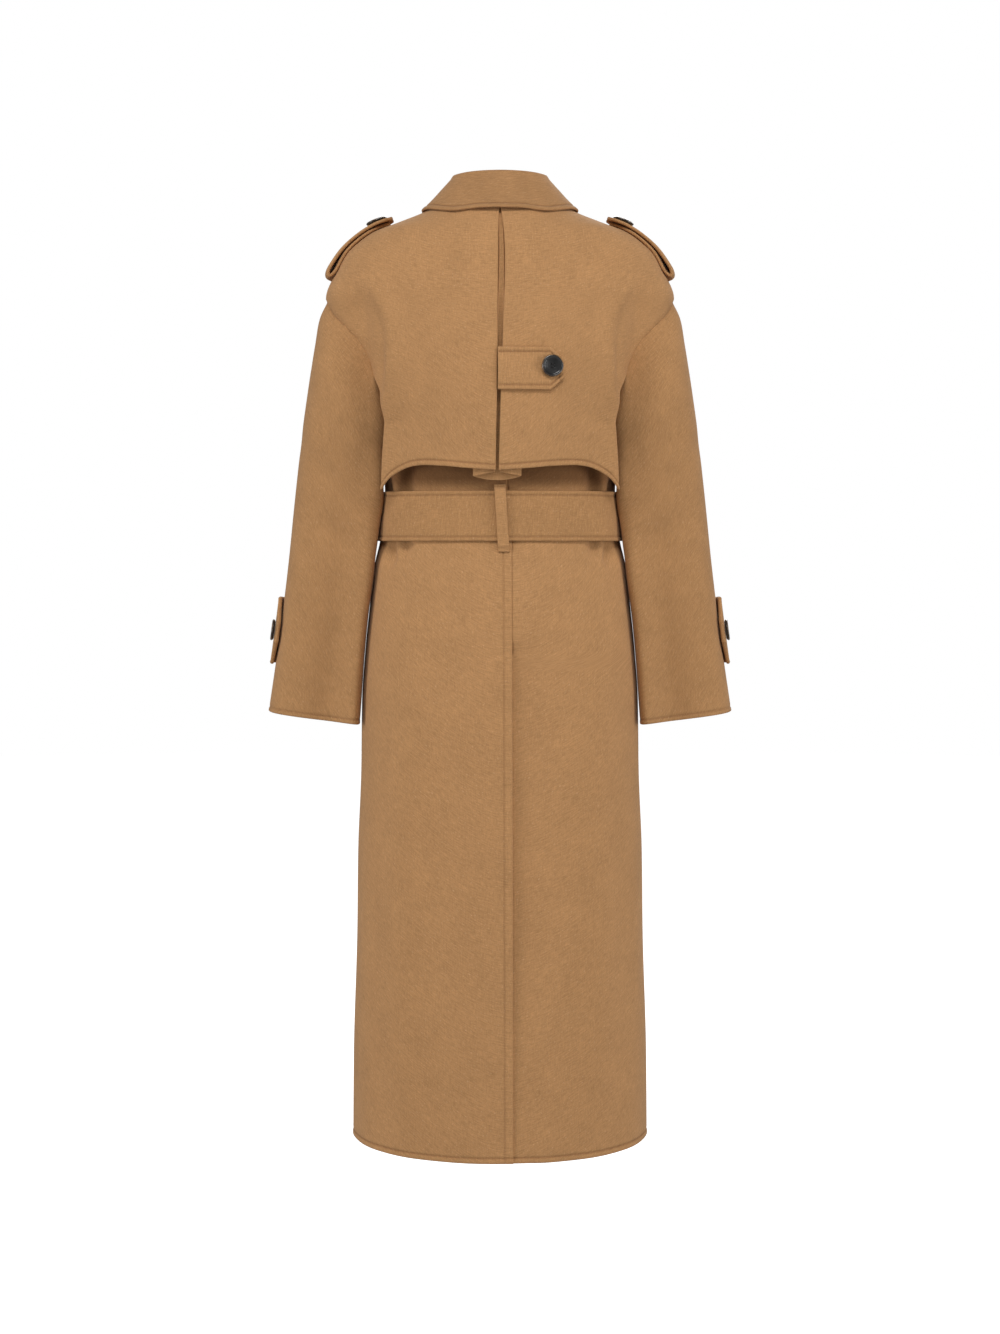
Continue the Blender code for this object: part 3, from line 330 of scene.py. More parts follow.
def edgeStrips(border, borderUv, outer, inner, away, thick, count):
    # half circles round a cut edge: middle + upright sin(phi) + away cos(phi)
    closed = border[:-1]
    high, low = outer[closed], inner[closed]
    middle, upright = (high + low) / 2, (high - low) / 2
    points, strips = [], [border]
    for k in range(1, cloth["edgeSteps"]):
        phi = np.pi * (0.5 - k / cloth["edgeSteps"])
        points.append(middle + upright * np.sin(phi) + away[closed] * np.cos(phi))
        ids = count + np.arange(len(closed))
        strips.append(np.append(ids, ids[0]))
        count += len(closed)
    strips.append(border + len(outer))
    quads, uvs = [], []
    slide = np.array([0.0, thick * np.pi / 2 / cloth["edgeSteps"]])
    for k, (a, b) in enumerate(zip(strips[:-1], strips[1:])):
        quads.append(np.stack([a[1:], a[:-1], b[:-1], b[1:]], axis=1))
        near, far = borderUv + slide * k, borderUv + slide * (k + 1)
        uvs.append(np.stack([near[1:], near[:-1], far[:-1], far[1:]], axis=1))
    return points, quads, uvs


def clothPiece(name, grid, material, sewn=(), ring=False, thick=cloth["thick"], rise=0.0, shade=0.0,
               outside=None, joined=None):
    # outer = grid + normal height, inner = grid - normal thick, closed by half circles at the edges
    normal = gridNormals(grid, ring)
    reference = grid * (1, 1, 0) if outside is None else outside
    normal = normal * np.sign(np.sum(normal * reference, axis=-1).mean())
    distances = edgeDistances(grid)
    height = np.zeros(grid.shape[:2]) + rise
    # painted shade: how much darker the wool's colour is painted, read by the material
    paintedShade = np.zeros_like(height) + shade
    addSewing(height, paintedShade, grid, normal, distances, sewn, ring)
    turned = dict.fromkeys(distances, 1.0)
    for side, share in (joined or {}).items():
        height -= share * cloth["joinSink"] * np.exp(-(distances[side] / cloth["joinSoft"]) ** 2)
        turned[side] = 1 - (1 - cloth["joinRound"]) * share
    inward = np.zeros_like(grid)
    inward[0] += unitRows(grid[1] - grid[0]) * turned["top"]
    inward[-1] += unitRows(grid[-2] - grid[-1]) * turned["bottom"]
    if not ring:
        inward[:, 0] += unitRows(grid[:, 1] - grid[:, 0]) * turned["start"]
        inward[:, -1] += unitRows(grid[:, -2] - grid[:, -1]) * turned["end"]
    inward = inward * (thick / 2)
    outer = (grid + normal * height[..., None] + inward).reshape(-1, 3)
    inner = (grid - normal * thick + inward).reshape(-1, 3)

    index = np.arange(len(outer)).reshape(grid.shape[:2])
    uv = np.stack([distances["start"], -distances["top"]], axis=-1)
    if ring:
        closing = np.linalg.norm(grid[:, 0] - grid[:, -1], axis=-1)
        last = uv[:, -1] + np.stack([closing, 0 * closing], axis=-1)
        uv = np.concatenate([uv, last[:, None]], axis=1)
        index = closedColumns(index)
        borders = [(index[0], uv[0]), (index[-1, ::-1], uv[-1, ::-1])]
    else:
        borders = [[np.concatenate([v[0], v[1:, -1], v[-1, -2::-1], v[-2::-1, 0]])
                    for v in (index, uv)]]
    corners, cornerUv = gridCorners(index), gridCorners(uv)
    points, quads = [outer, inner], [corners, corners[:, ::-1] + len(outer)]
    uvs = [cornerUv, cornerUv[:, ::-1]]
    for border, borderUv in borders:
        strips = edgeStrips(border, borderUv, outer, inner, -inward.reshape(-1, 3), thick,
                            sum(len(part) for part in points))
        for whole, part in zip((points, quads, uvs), strips):
            whole += part
    points, quads, uvs = (np.concatenate(parts) for parts in (points, quads, uvs))
    piece = meshPiece(name, points, quads, material, uvs)
    # the painted shade goes to the material as a point attribute, on the outside only
    values = np.zeros(len(piece.data.vertices), np.float32)
    values[:len(outer)] = paintedShade.ravel()
    piece.data.attributes.new("paintedShade", "FLOAT", "POINT").data.foreach_set("value", values)
    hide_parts(name)

    whole = closedColumns(grid) if ring else grid


def newObject(name, data):  # puts a mesh, lamp or camera into the scene
    thing = bpy.data.objects.new(name, data)
    bpy.context.scene.collection.objects.link(thing)
    return thing


def meshPiece(name, points, quads, material, uvs=None):  # closed mesh turned so that it holds a volume
    a, b, c, d = (points[quads[:, k]] for k in range(4))
    volume = np.sum(a * np.cross(b, c)) + np.sum(a * np.cross(c, d))
    if volume < 0:
        quads = quads[:, ::-1]
        uvs = None if uvs is None else uvs[:, ::-1]
    mesh = bpy.data.meshes.new(name)
    mesh.from_pydata(points.tolist(), [], quads.tolist())
    if uvs is not None:
        mesh.uv_layers.new(name="cloth").data.foreach_set("uv", uvs.astype(np.float32).ravel())
    mesh.shade_smooth()
    mesh.materials.append(material)
    piece = newObject(name, mesh)
    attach(piece, "root")
    return piece


def mirrored(side):
    return np.array([side, 1.0, 1.0])


def sideName(stem, side):
    return f"{stem}_{'right' if side > 0 else 'left'}"


def onForm(angle, z, stand, form=coatForm):  # point of the form, moved out along its normal
    return form(angle, z) + formNormals(form, angle, z) * np.asarray(stand)[..., None]


# Shader groups and materials

# brushed wool. Noises: stretch across and along the cloth, detail, roughness, share in the shade
nap = dict(
    weft=((90.0, 620.0, 1.0), 3.0, 0.6, 0.42),
    warp=((560.0, 110.0, 1.0), 2.0, 0.5, 0.22),
    fibre=((900.0, 900.0, 1.0), 4.0, 0.65, 0.38),
    cloud=((1.0, 1.0, 1.0), 3.0, 0.55, 0.14),
    fleck=((420.0, 420.0, 1.0), 1.0, 0.4, 0.35),
    cloudScale=26.0,
    fibreHeight=0.6,
    fleckFrom=0.62,
    fleckTo=0.78,
)

woolLook = dict(
    colour=(0.452, 0.238, 0.099),
    dark=0.70,
    light=1.32,
    stops=(0.40, 0.60, 0.78),
    fleck=(0.68, 0.44, 0.24),
    # colour that the painted shade multiplies the wool towards
    paintedShade=(0.36, 0.29, 0.24),
    bump=0.6,
    bumpDistance=0.6 * mm,
    rough=0.92,
    specular=0.25,
    sheen=0.12,
    sheenRough=0.45,
    sheenTint=(0.86, 0.78, 0.66),
)
beltLook = dict(woolLook, colour=(0.416, 0.217, 0.088))
sleeveShadedLook = dict(woolLook, colour=(0.424, 0.222, 0.091))  # sleeves: painted shade, the same wool made darker
# painted shade: the same wool made darker for the collar, whose fall faces up towards the lamps
collarShadedLook = dict(woolLook, colour=(0.398, 0.208, 0.086))


def makeGroup(name, inputs, outputs):
    group = bpy.data.node_groups.new(name, "ShaderNodeTree")
    for label, kind, value in inputs:
        socket = group.interface.new_socket(label, in_out="INPUT", socket_type=kind)
        if value is not None:
            socket.default_value = value
    for label, kind in outputs:
        group.interface.new_socket(label, in_out="OUTPUT", socket_type=kind)
    return group, group.nodes.new("NodeGroupInput"), group.nodes.new("NodeGroupOutput")


def setInputs(node, values):
    for label, value in values.items():
        node.inputs[label].default_value = value


def mathNode(tree, operation, a, b, c=None):
    node = tree.nodes.new("ShaderNodeMath")
    node.operation = operation
    for k, value in enumerate(v for v in (a, b, c) if v is not None):
        if isinstance(value, bpy.types.NodeSocket):
            tree.links.new(value, node.inputs[k])
        else:
            node.inputs[k].default_value = value
    return node.outputs[0]


def noiseNode(tree, vector, stretch, scale, detail, rough=0.5):
    mapping = tree.nodes.new("ShaderNodeMapping")
    mapping.inputs["Scale"].default_value = stretch
    tree.links.new(vector, mapping.inputs["Vector"])
    noise = tree.nodes.new("ShaderNodeTexNoise")
    setInputs(noise, {"Scale": scale, "Detail": detail, "Roughness": rough})
    tree.links.new(mapping.outputs[0], noise.inputs["Vector"])
    return noise.outputs["Fac"]


def woolNapGroup():  # soft weft streaks, finer warp streaks, fibres, flecks and clouds
    group, entry, leave = makeGroup("woolNap", [("Cloth", "NodeSocketVector", None),
                                                ("Place", "NodeSocketVector", None)],
                                    [("Shade", "NodeSocketFloat"), ("Height", "NodeSocketFloat"),
                                     ("Fleck", "NodeSocketFloat")])
    noises = {}
    for name in ("weft", "warp", "fibre", "cloud", "fleck"):
        stretch, detail, rough, _ = nap[name]
        vector = entry.outputs["Place" if name == "cloud" else "Cloth"]
        scale = nap["cloudScale"] if name == "cloud" else 1.0
        noises[name] = noiseNode(group, vector, stretch, scale, detail, rough)
    shade = mathNode(group, "MULTIPLY", noises["warp"], nap["warp"][3])
    streaks = shade = mathNode(group, "MULTIPLY_ADD", noises["weft"], nap["weft"][3], shade)
    for name in ("fibre", "cloud"):
        shade = mathNode(group, "MULTIPLY_ADD", noises[name], nap[name][3], shade)
    height = mathNode(group, "MULTIPLY_ADD", noises["fibre"], nap["fibreHeight"], streaks)
    fleck = group.nodes.new("ShaderNodeMapRange")
    setInputs(fleck, {"From Min": nap["fleckFrom"], "From Max": nap["fleckTo"]})
    group.links.new(noises["fleck"], fleck.inputs["Value"])
    for name, socket in (("Shade", shade), ("Height", height), ("Fleck", fleck.outputs[0])):
        group.links.new(socket, leave.inputs[name])
    return group


def newMaterial(name):
    material = bpy.data.materials.new(name)
    material.use_nodes = True
    tree = material.node_tree
    return material, tree, tree.nodes["Principled BSDF"]


def colourRamp(tree, value, stops):
    ramp = tree.nodes.new("ShaderNodeValToRGB")
    ramp.color_ramp.elements[0].position, ramp.color_ramp.elements[0].color = stops[0]
    ramp.color_ramp.elements[1].position, ramp.color_ramp.elements[1].color = stops[-1]
    for position, colour in stops[1:-1]:
        ramp.color_ramp.elements.new(position).color = colour
    tree.links.new(value, ramp.inputs[0])
    return ramp.outputs[0]


def woolMaterial(name, look):
    material, tree, shader = newMaterial(name)
    where = tree.nodes.new("ShaderNodeTexCoord")
    group = tree.nodes.new("ShaderNodeGroup")
    group.node_tree = woolNap
    tree.links.new(where.outputs["UV"], group.inputs["Cloth"])
    tree.links.new(where.outputs["Object"], group.inputs["Place"])
    stops = [(at, (*(c * level for c in look["colour"]), 1))
             for at, level in zip(look["stops"], (look["dark"], 1.0, look["light"]))]
    base = colourRamp(tree, group.outputs["Shade"], stops)
    fleck = mathNode(tree, "MULTIPLY", group.outputs["Fleck"], nap["fleck"][3])
    # painted shade: the base colour is multiplied towards a dark brown by the point attribute
    paintedShade = tree.nodes.new("ShaderNodeAttribute")
    paintedShade.attribute_name = "paintedShade"
    for amount, colour, way in ((fleck, look["fleck"], "MIX"),
                                (paintedShade.outputs["Fac"], look["paintedShade"], "MULTIPLY")):
        mix = tree.nodes.new("ShaderNodeMix")
        mix.data_type, mix.blend_type = "RGBA", way
        mix.inputs["B"].default_value = (*colour, 1)
        tree.links.new(amount, mix.inputs["Factor"])
        tree.links.new(base, mix.inputs["A"])
        base = mix.outputs["Result"]
    tree.links.new(base, shader.inputs["Base Color"])
    bump = tree.nodes.new("ShaderNodeBump")
    setInputs(bump, {"Strength": look["bump"], "Distance": look["bumpDistance"]})
    tree.links.new(group.outputs["Height"], bump.inputs["Height"])
    tree.links.new(bump.outputs[0], shader.inputs["Normal"])
    setInputs(shader, {"Roughness": look["rough"], "Specular IOR Level": look["specular"],
                       "Sheen Weight": look["sheen"], "Sheen Roughness": look["sheenRough"],
                       "Sheen Tint": (*look["sheenTint"], 1)})
    return material


def plainMaterial(name, colour, roughness, speckle=0.12, scale=220.0):
    material, tree, shader = newMaterial(name)
    where = tree.nodes.new("ShaderNodeTexCoord")
    noise = noiseNode(tree, where.outputs["Object"], (1.0, 1.0, 1.0), scale, 3.0)
    stops = [(0.3, (*(c * (1 - speckle) for c in colour), 1)),
             (0.7, (*(c * (1 + speckle) for c in colour), 1))]
    tree.links.new(colourRamp(tree, noise, stops), shader.inputs["Base Color"])
    shader.inputs["Roughness"].default_value = roughness
    return material


woolNap = woolNapGroup()
wool = woolMaterial("camelWool", woolLook)
beltWool = woolMaterial("camelWoolBelt", beltLook)
sleeveShadedWool = woolMaterial("camelWoolSleeveShaded", sleeveShadedLook)
collarShadedWool = woolMaterial("camelWoolCollarShaded", collarShadedLook)
thread = plainMaterial("camelThread", (0.33, 0.165, 0.070), 0.75)
darkThread = plainMaterial("darkThread", (0.012, 0.010, 0.009), 0.7)
print("wool ready")


# Body panels

back = dict(
    width=0.27,
    seam=np.array([  # height, x of the centre seam
        (0.01, 0.0060), (-0.36, 0.0089), (-0.44, 0.0147), (-0.62, 0.0152), (-1.21, 0.0166),
    ]),
    seamStitch=10.5 * mm,
    seamStrength=0.55,
    ventTopZ=-0.565,
    ventLap=0.041,
    ventSlope=0.024,
    ventStep=0.040,
    ventStepEase=0.024,
    ventUnder=(0.020, 0.019),     # the underlap lies deeper from this far above the vent
    ventEdge=0.022,
    ventEdgeLift=2.6 * mm,
    ventOpen=0.06,
    ventEnd=(-1.02, 0.20),
    barStart=(0.0135, -0.5660),   # slanted row of stitches that holds the vent's underlap
    barEnd=(-0.0290, -0.5755),
    barRise=1.5 * mm,
    barGroove=0.5 * mm,
    barHalf=1.3 * mm,
    barAt=1.0 * mm,
    barStep=3.0 * mm,
    barFade=(-0.055, 0.05),       # across it
    barFirst=(-0.02, 0.06),       # shares of its length
    barLast=(1.06, 0.5),
    hemStitch=7.0 * mm,
    armholeStitch=6.0 * mm,
    armholeEnds=4.0 * mm,
    worn=0.85,                    # painted shadow: how much darker the wool is painted where the flap hangs over it
    wornLow=(-0.374, 0.024),
    wornTop=(-0.27, 0.02),
    wornSide=(0.0, 0.04),
)

front = dict(
    wrapX=0.075,
    breakZ=-0.285,
    rollTopX=0.0655,
    rollTopZ=-0.010,
    width=0.33,
    edgeGap=0.14,
    edgeFrom=0.02,
    underWrap=9.6 * mm,
    underSide=(0.110, 0.026),
    underTop=(-0.105, 0.03),
    lapelLift=1.6 * mm,
    lapelStart=0.04,
    lapelTop=0.84,
    lapelFall=0.32,
    lapelFlatten=0.6,
    lapelLoose=(0.0, 0.3),
    lapelSeat=0.0015,
    lapelLength=0.25,
    lapelSteps=(4 * mm, 3 * mm),  # along and across
    lapelAcross=0.06,
    lapelPuff=0.25,
    leftLift=0.6 * mm,
    lapelWidth=np.array([(0.00, 0.006), (0.25, 0.036), (0.55, 0.058), (0.85, 0.072), (1.00, 0.060)]),
    edgeStitch=7.0 * mm,
)


def panelHeights():  # rows from the neck to the hem, closest at the shoulder, the vent and the hem
    upper = np.array(coat["shoulderRows"] + tuple(coat["armhole"][:, 0]))
    steps = np.hypot(np.diff(upper), np.diff(section(upper, 1)))
    upper = between(upper, coat["shoulderStep"], steps)
    (first, last), low = coat["plainRows"], coat["ventLowZ"]
    middle = between(np.array([coat["underarmZ"], first, last]), cloth["coarse"])
    vent = between(np.array([last, low]), cloth["strapStep"])
    lower = low + (coat["hemZ"] - low) * spread(low - coat["hemZ"], fineStart=False)
    return np.concatenate([upper, middle[1:], vent[1:], lower[1:]])


def hemRaised(angle, z):  # the hem rises a little towards the side seams
    low = ease((coat["hemZ"] + coat["hemRiseReach"] - z) / coat["hemRiseReach"])
    return z + coat["hemSideRise"] * np.cos(angle) ** 2 * low


def panelPlaces(z, first, last, width):  # angles and heights of a panel from one edge to the other
    places = spread(width)
    angle = first[:, None] + (last - first)[:, None] * places
    return angle, hemRaised(angle, wideRows(z, len(places)))


def armholeSewn(side, z, columns):  # the line beside the armhole, clear of the seams at its ends
    inside = ((z < coat["shoulderEndZ"] - back["armholeEnds"])
              & (z > coat["underarmZ"] + back["armholeEnds"]))
    return sewnAt(side, at=back["armholeStitch"], mask=wideRows(inside * 1.0, columns))


def backPanel(side):
    name = sideName("back", side)
    z = panelHeights()
    seam = side * readTable(back["seam"], z)
    lap = back["ventLap"] * below(z, (back["ventTopZ"], back["ventSlope"])) if side > 0 else 0.0
    angle, height = panelPlaces(z, angleAt(seam - lap, z), armholeAngle(z), back["width"])
    stand, rise = np.zeros_like(angle), 0.0
    if side > 0:
        x = plainForm(angle, height)[..., 0]
        near = ease((seam[:, None] + back["ventStep"] - x) / back["ventStepEase"])
        top, over = back["ventUnder"]
        stand = -cloth["layer"] * near * ease((back["ventTopZ"] + top - height) / over)
    grid = onForm(angle, height, stand) * mirrored(side)
    sewn = armholeSewn("end", z, angle.shape[1]) + sewnAt("bottom", at=back["hemStitch"])
    if side < 0:
        opened = below(height, (back["ventTopZ"], back["ventOpen"])) * above(height, back["ventEnd"])
        fromSeam = edgeDistances(grid)["start"]
        rise = back["ventEdgeLift"] * ease(1 - fromSeam / back["ventEdge"]) * opened + ventBar(grid)
        sewn += sewnAt("start", at=back["seamStitch"], strength=back["seamStrength"])
    # painted shadow cast by the storm flap on the back, between its hem and the belt
    worn = (back["worn"] * above(height, back["wornLow"]) * below(height, back["wornTop"])
            * below(grid[..., 1], back["wornSide"]))
    clothPiece(name, grid, wool, sewn, rise=rise, shade=worn,
               joined=dict(top=1.0, end=1.0, start=1.0 if side > 0 else 0.3))


def ventBar(grid):  # a soft step below the slanted stitches, with a groove along them
    a, b = np.array(back["barStart"]), np.array(back["barEnd"])
    along = (b - a) / np.linalg.norm(b - a)
    flat = grid[..., [0, 2]] - a
    s = flat @ along / np.linalg.norm(b - a)
    d = flat @ np.array([along[1], -along[0]])
    ends = above(s, back["barFirst"]) * below(s, back["barLast"])
    step = below(d, (back["barAt"], back["barStep"])) * above(d, back["barFade"])
    groove = np.exp(-((d - back["barAt"]) / back["barHalf"]) ** 2)
    return (back["barRise"] * step - back["barGroove"] * groove) * ends


def rollX(z):  # the right front's edge: the roll line above the break, straight below it
    up = np.clip((z - front["breakZ"]) / (front["rollTopZ"] - front["breakZ"]), 0, 1)
    return -front["wrapX"] + (front["wrapX"] + front["rollTopX"]) * up


def frontStand(side, x, z):  # the left front lies deeper where the right one covers it
    under = front["underWrap"] * below(x, front["underSide"]) * below(z, front["underTop"])
    return np.zeros_like(x) if side > 0 else -under


def frontPanel(side):
    name = sideName("front", side)
    z = panelHeights()
    outer = armholeAngle(z, ahead=True)
    free = np.maximum(angleAt(rollX(z), z, ahead=True), outer + front["edgeGap"])
    angle, height = panelPlaces(z, outer, free, front["width"])
    stand = frontStand(side, plainForm(angle, height)[..., 0], height)
    grid = onForm(angle, height, stand) * mirrored(side)
    edgeMask = wideRows(below(z, (front["breakZ"], front["edgeFrom"])), angle.shape[1])
    sewn = armholeSewn("start", z, angle.shape[1]) + sewnAt("bottom", at=back["hemStitch"])
    sewn += sewnAt("end", at=front["edgeStitch"], mask=edgeMask)
    clothPiece(name, grid, wool, sewn, joined=dict(top=1.0, start=1.0))


def lapelPiece(side):
    first, last = front["lapelStart"], front["lapelTop"]
    alongStep, acrossStep = front["lapelSteps"]
    place = first + (last - first) * spread(front["lapelLength"], coarse=alongStep)
    across = spread(front["lapelAcross"], coarse=acrossStep)
    zRoll = front["breakZ"] + (front["rollTopZ"] - front["breakZ"]) * place
    width = readTable(front["lapelWidth"], place)[:, None]
    fall = front["lapelFall"] * width * across * (1 - front["lapelFlatten"] * place[:, None])
    z = zRoll[:, None] - fall
    x = rollX(zRoll)[:, None] + front["lapelSeat"] + width * across
    under = frontStand(side, x, z)
    loose = above(across, front["lapelLoose"])
    shown = 1 + under / front["underWrap"]
    lift = cloth["layer"] * (1 + front["lapelPuff"] * loose) + front["lapelLift"] * loose * shown
    lift = lift + (front["leftLift"] if side < 0 else 0.0)
    grid = onForm(angleAt(x, z, ahead=True), z, under + lift) * mirrored(side)
    clothPiece(sideName("lapel", side), grid, wool, sewnAt("end", "bottom", at=front["edgeStitch"]))


for side in (-1, 1):
    backPanel(side)
    frontPanel(side)
    lapelPiece(side)
print("body panels done")


# Sleeves

sleeve = dict(
    # place along it, outer line x and z, inner line x and z, half depth, middle y
    rings=np.array([
        (0.00, 0.2173, -0.1256, 0.1500, -0.2850, 0.074, 0.000),
        (0.05, 0.2256, -0.1500, 0.1535, -0.3000, 0.077, 0.001),
        (0.10, 0.2306, -0.1749, 0.1550, -0.3150, 0.078, 0.002),
        (0.20, 0.2379, -0.2130, 0.1560, -0.3430, 0.077, 0.004),
        (0.32, 0.2455, -0.2600, 0.1570, -0.3760, 0.074, 0.007),
        (0.45, 0.2530, -0.3100, 0.1585, -0.4080, 0.070, 0.010),
        (0.60, 0.2606, -0.3780, 0.1620, -0.4550, 0.064, 0.014),
        (0.75, 0.2690, -0.4550, 0.1690, -0.5160, 0.062, 0.018),
        (0.88, 0.2815, -0.5500, 0.1755, -0.5900, 0.060, 0.022),
        (1.00, 0.2960, -0.6450, 0.1805, -0.6590, 0.058, 0.025),
    ]),
    # soft folds: place along it, angle round it, half length, half angle, depth
    folds=np.array([
        (0.08, 60.0, 0.06, 60.0, -0.004), (0.08, -60.0, 0.06, 60.0, -0.002),
        (0.05, 0.0, 0.05, 45.0, -0.003), (0.36, 142.0, 0.16, 26.0, -0.011),
        (0.64, 140.0, 0.18, 24.0, -0.009), (0.95, 140.0, 0.20, 24.0, -0.008),
        (0.44, 60.0, 0.05, 60.0, 0.003), (0.60, 110.0, 0.05, 55.0, 0.003),
        (0.30, 120.0, 0.06, 50.0, 0.003), (0.52, -70.0, 0.05, 60.0, 0.003),
    ]),
    # the back of the inner side lies in behind the body: place along it, shift in x and in y
    tuck=np.array([
        (0.00, 0.0000, 0.0000), (0.10, -0.0190, 0.0000), (0.30, -0.0190, 0.0000),
        (0.42, -0.0148, 0.0000), (0.52, -0.0125, -0.0070), (0.60, -0.0118, -0.0130),
        (0.70, -0.0098, -0.0165), (0.80, -0.0088, -0.0205), (0.90, -0.0082, -0.0235),
        (1.00, -0.0090, -0.0265),
    ]),
    tuckAt=135.0,
    tuckHalf=17.0,
    flush=2.8 * mm,       # how far its head rises to meet the flap
    flushReach=0.07,
    flushBack=(0.35, 0.5),
    flushLow=(-0.26, 0.04),
    square=0.12,
    squareBy=0.2,
    settleBy=0.35,        # place where its rows are evenly spread
    setInBy=0.16,         # place where it leaves the armhole's shape
    length=0.56,
    hemStitch=6.0 * mm,
    hemStrength=0.8,
    loopStep=5 * mm,
    loopArm=0.2,          # metres of armhole for each radian
)


def sleeveOval(place, around):  # around is 0 at the outer line and 90 degrees at the back
    outerX, outerZ, innerX, innerZ, deep, middle = (readTable(sleeve["rings"], place, c)
                                                    for c in range(1, 7))
    cosine, sine = np.cos(around), np.sin(around)
    square = sleeve["square"] * ease(place / sleeve["squareBy"])
    cosine, sine = cosine * (1 + square * sine ** 2), sine * (1 + square * cosine ** 2)
    x = (outerX + innerX) / 2 + cosine * (outerX - innerX) / 2
    z = (outerZ + innerZ) / 2 + cosine * (outerZ - innerZ) / 2
    y = middle - sine * deep
    fold = np.zeros_like(x)
    for at, centre, halfLength, halfAngle, depth in sleeve["folds"]:
        turn = np.angle(np.exp(1j * (around - np.radians(centre))))
        fold += depth * np.exp(-((place - at) / halfLength) ** 2 - (turn / np.radians(halfAngle)) ** 2)
    out = np.stack([x - (outerX + innerX) / 2, y - middle, z - (outerZ + innerZ) / 2], axis=-1)
    turn = np.angle(np.exp(1j * (around - np.radians(sleeve["tuckAt"]))))
    near = np.exp(-(turn / np.radians(sleeve["tuckHalf"])) ** 2)
    tuck = np.stack([readTable(sleeve["tuck"], place, 1), readTable(sleeve["tuck"], place, 2),
                     np.zeros_like(place)], axis=-1)
    return np.stack([x, y, z], axis=-1) - unitRows(out) * fold[..., None] + tuck * near[..., None]


def sleeveNormal(place, around):
    along = sleeveOval(place, around + 1e-3) - sleeveOval(place, around - 1e-3)
    down = (sleeveOval(np.clip(place + 1e-3, 0, 1), around)
            - sleeveOval(np.clip(place - 1e-3, 0, 1), around))
    normal = unitRows(np.cross(along, down))
    centre = (sleeveOval(place, around) + sleeveOval(place, around + np.pi)) / 2
    outward = np.sum(normal * (sleeveOval(place, around) - centre), axis=-1, keepdims=True)
    return normal * np.sign(outward)


def armholeLoop():  # from the shoulder down the back edge, under the arm and up the front edge
    knots = coat["armhole"][:, 0]
    turned = np.abs(np.diff(np.radians(coat["armhole"][:, 1])))
    steps = np.maximum(np.abs(np.diff(knots)), sleeve["loopArm"] * turned)
    z = between(knots, sleeve["loopStep"], steps)
    angle = np.concatenate([armholeAngle(z), armholeAngle(z[-2:0:-1], ahead=True)])
    return coatForm(angle, np.concatenate([z, z[-2:0:-1]]))


def sleevePiece(side):
    ring = armholeLoop()
    outerX, outerZ, innerX, innerZ, deep = sleeve["rings"][0, 1:6]
    centre = np.array([(outerX + innerX) / 2, 0.0, (outerZ + innerZ) / 2])
    axis = np.array([outerX - innerX, 0.0, outerZ - innerZ]) / 2
    turn = np.unwrap(np.arctan2(-ring[:, 1] / deep, (ring - centre) @ axis / (axis @ axis)))
    even = fullTurn(len(ring))
    place = wideRows(spread(sleeve["length"]), len(ring))
    settle = ease(place / sleeve["settleBy"])
    around = turn * (1 - settle) + even * settle
    start = sleeveOval(np.zeros_like(place), np.broadcast_to(turn, place.shape))
    setIn = (ring - start) * (1 - ease(place / sleeve["setInBy"]))[..., None]
    grid = (sleeveOval(place, around) + setIn) * mirrored(side)
    share, over = sleeve["flushBack"]
    flush = (sleeve["flush"] * (1 - ease(place * sleeve["length"] / sleeve["flushReach"]))
             * ease(share + np.sin(turn) / over) * above(grid[..., 2], sleeve["flushLow"]))
    clothPiece(sideName("sleeve", side), grid, sleeveShadedWool,
               sewnAt("bottom", at=sleeve["hemStitch"], strength=sleeve["hemStrength"]),
               ring=True, rise=flush,
               outside=grid - grid.mean(axis=1, keepdims=True), joined=dict(top=1.0))


for side in (-1, 1):
    sleevePiece(side)
print("sleeves done")


# Storm flap with its pleat and tab

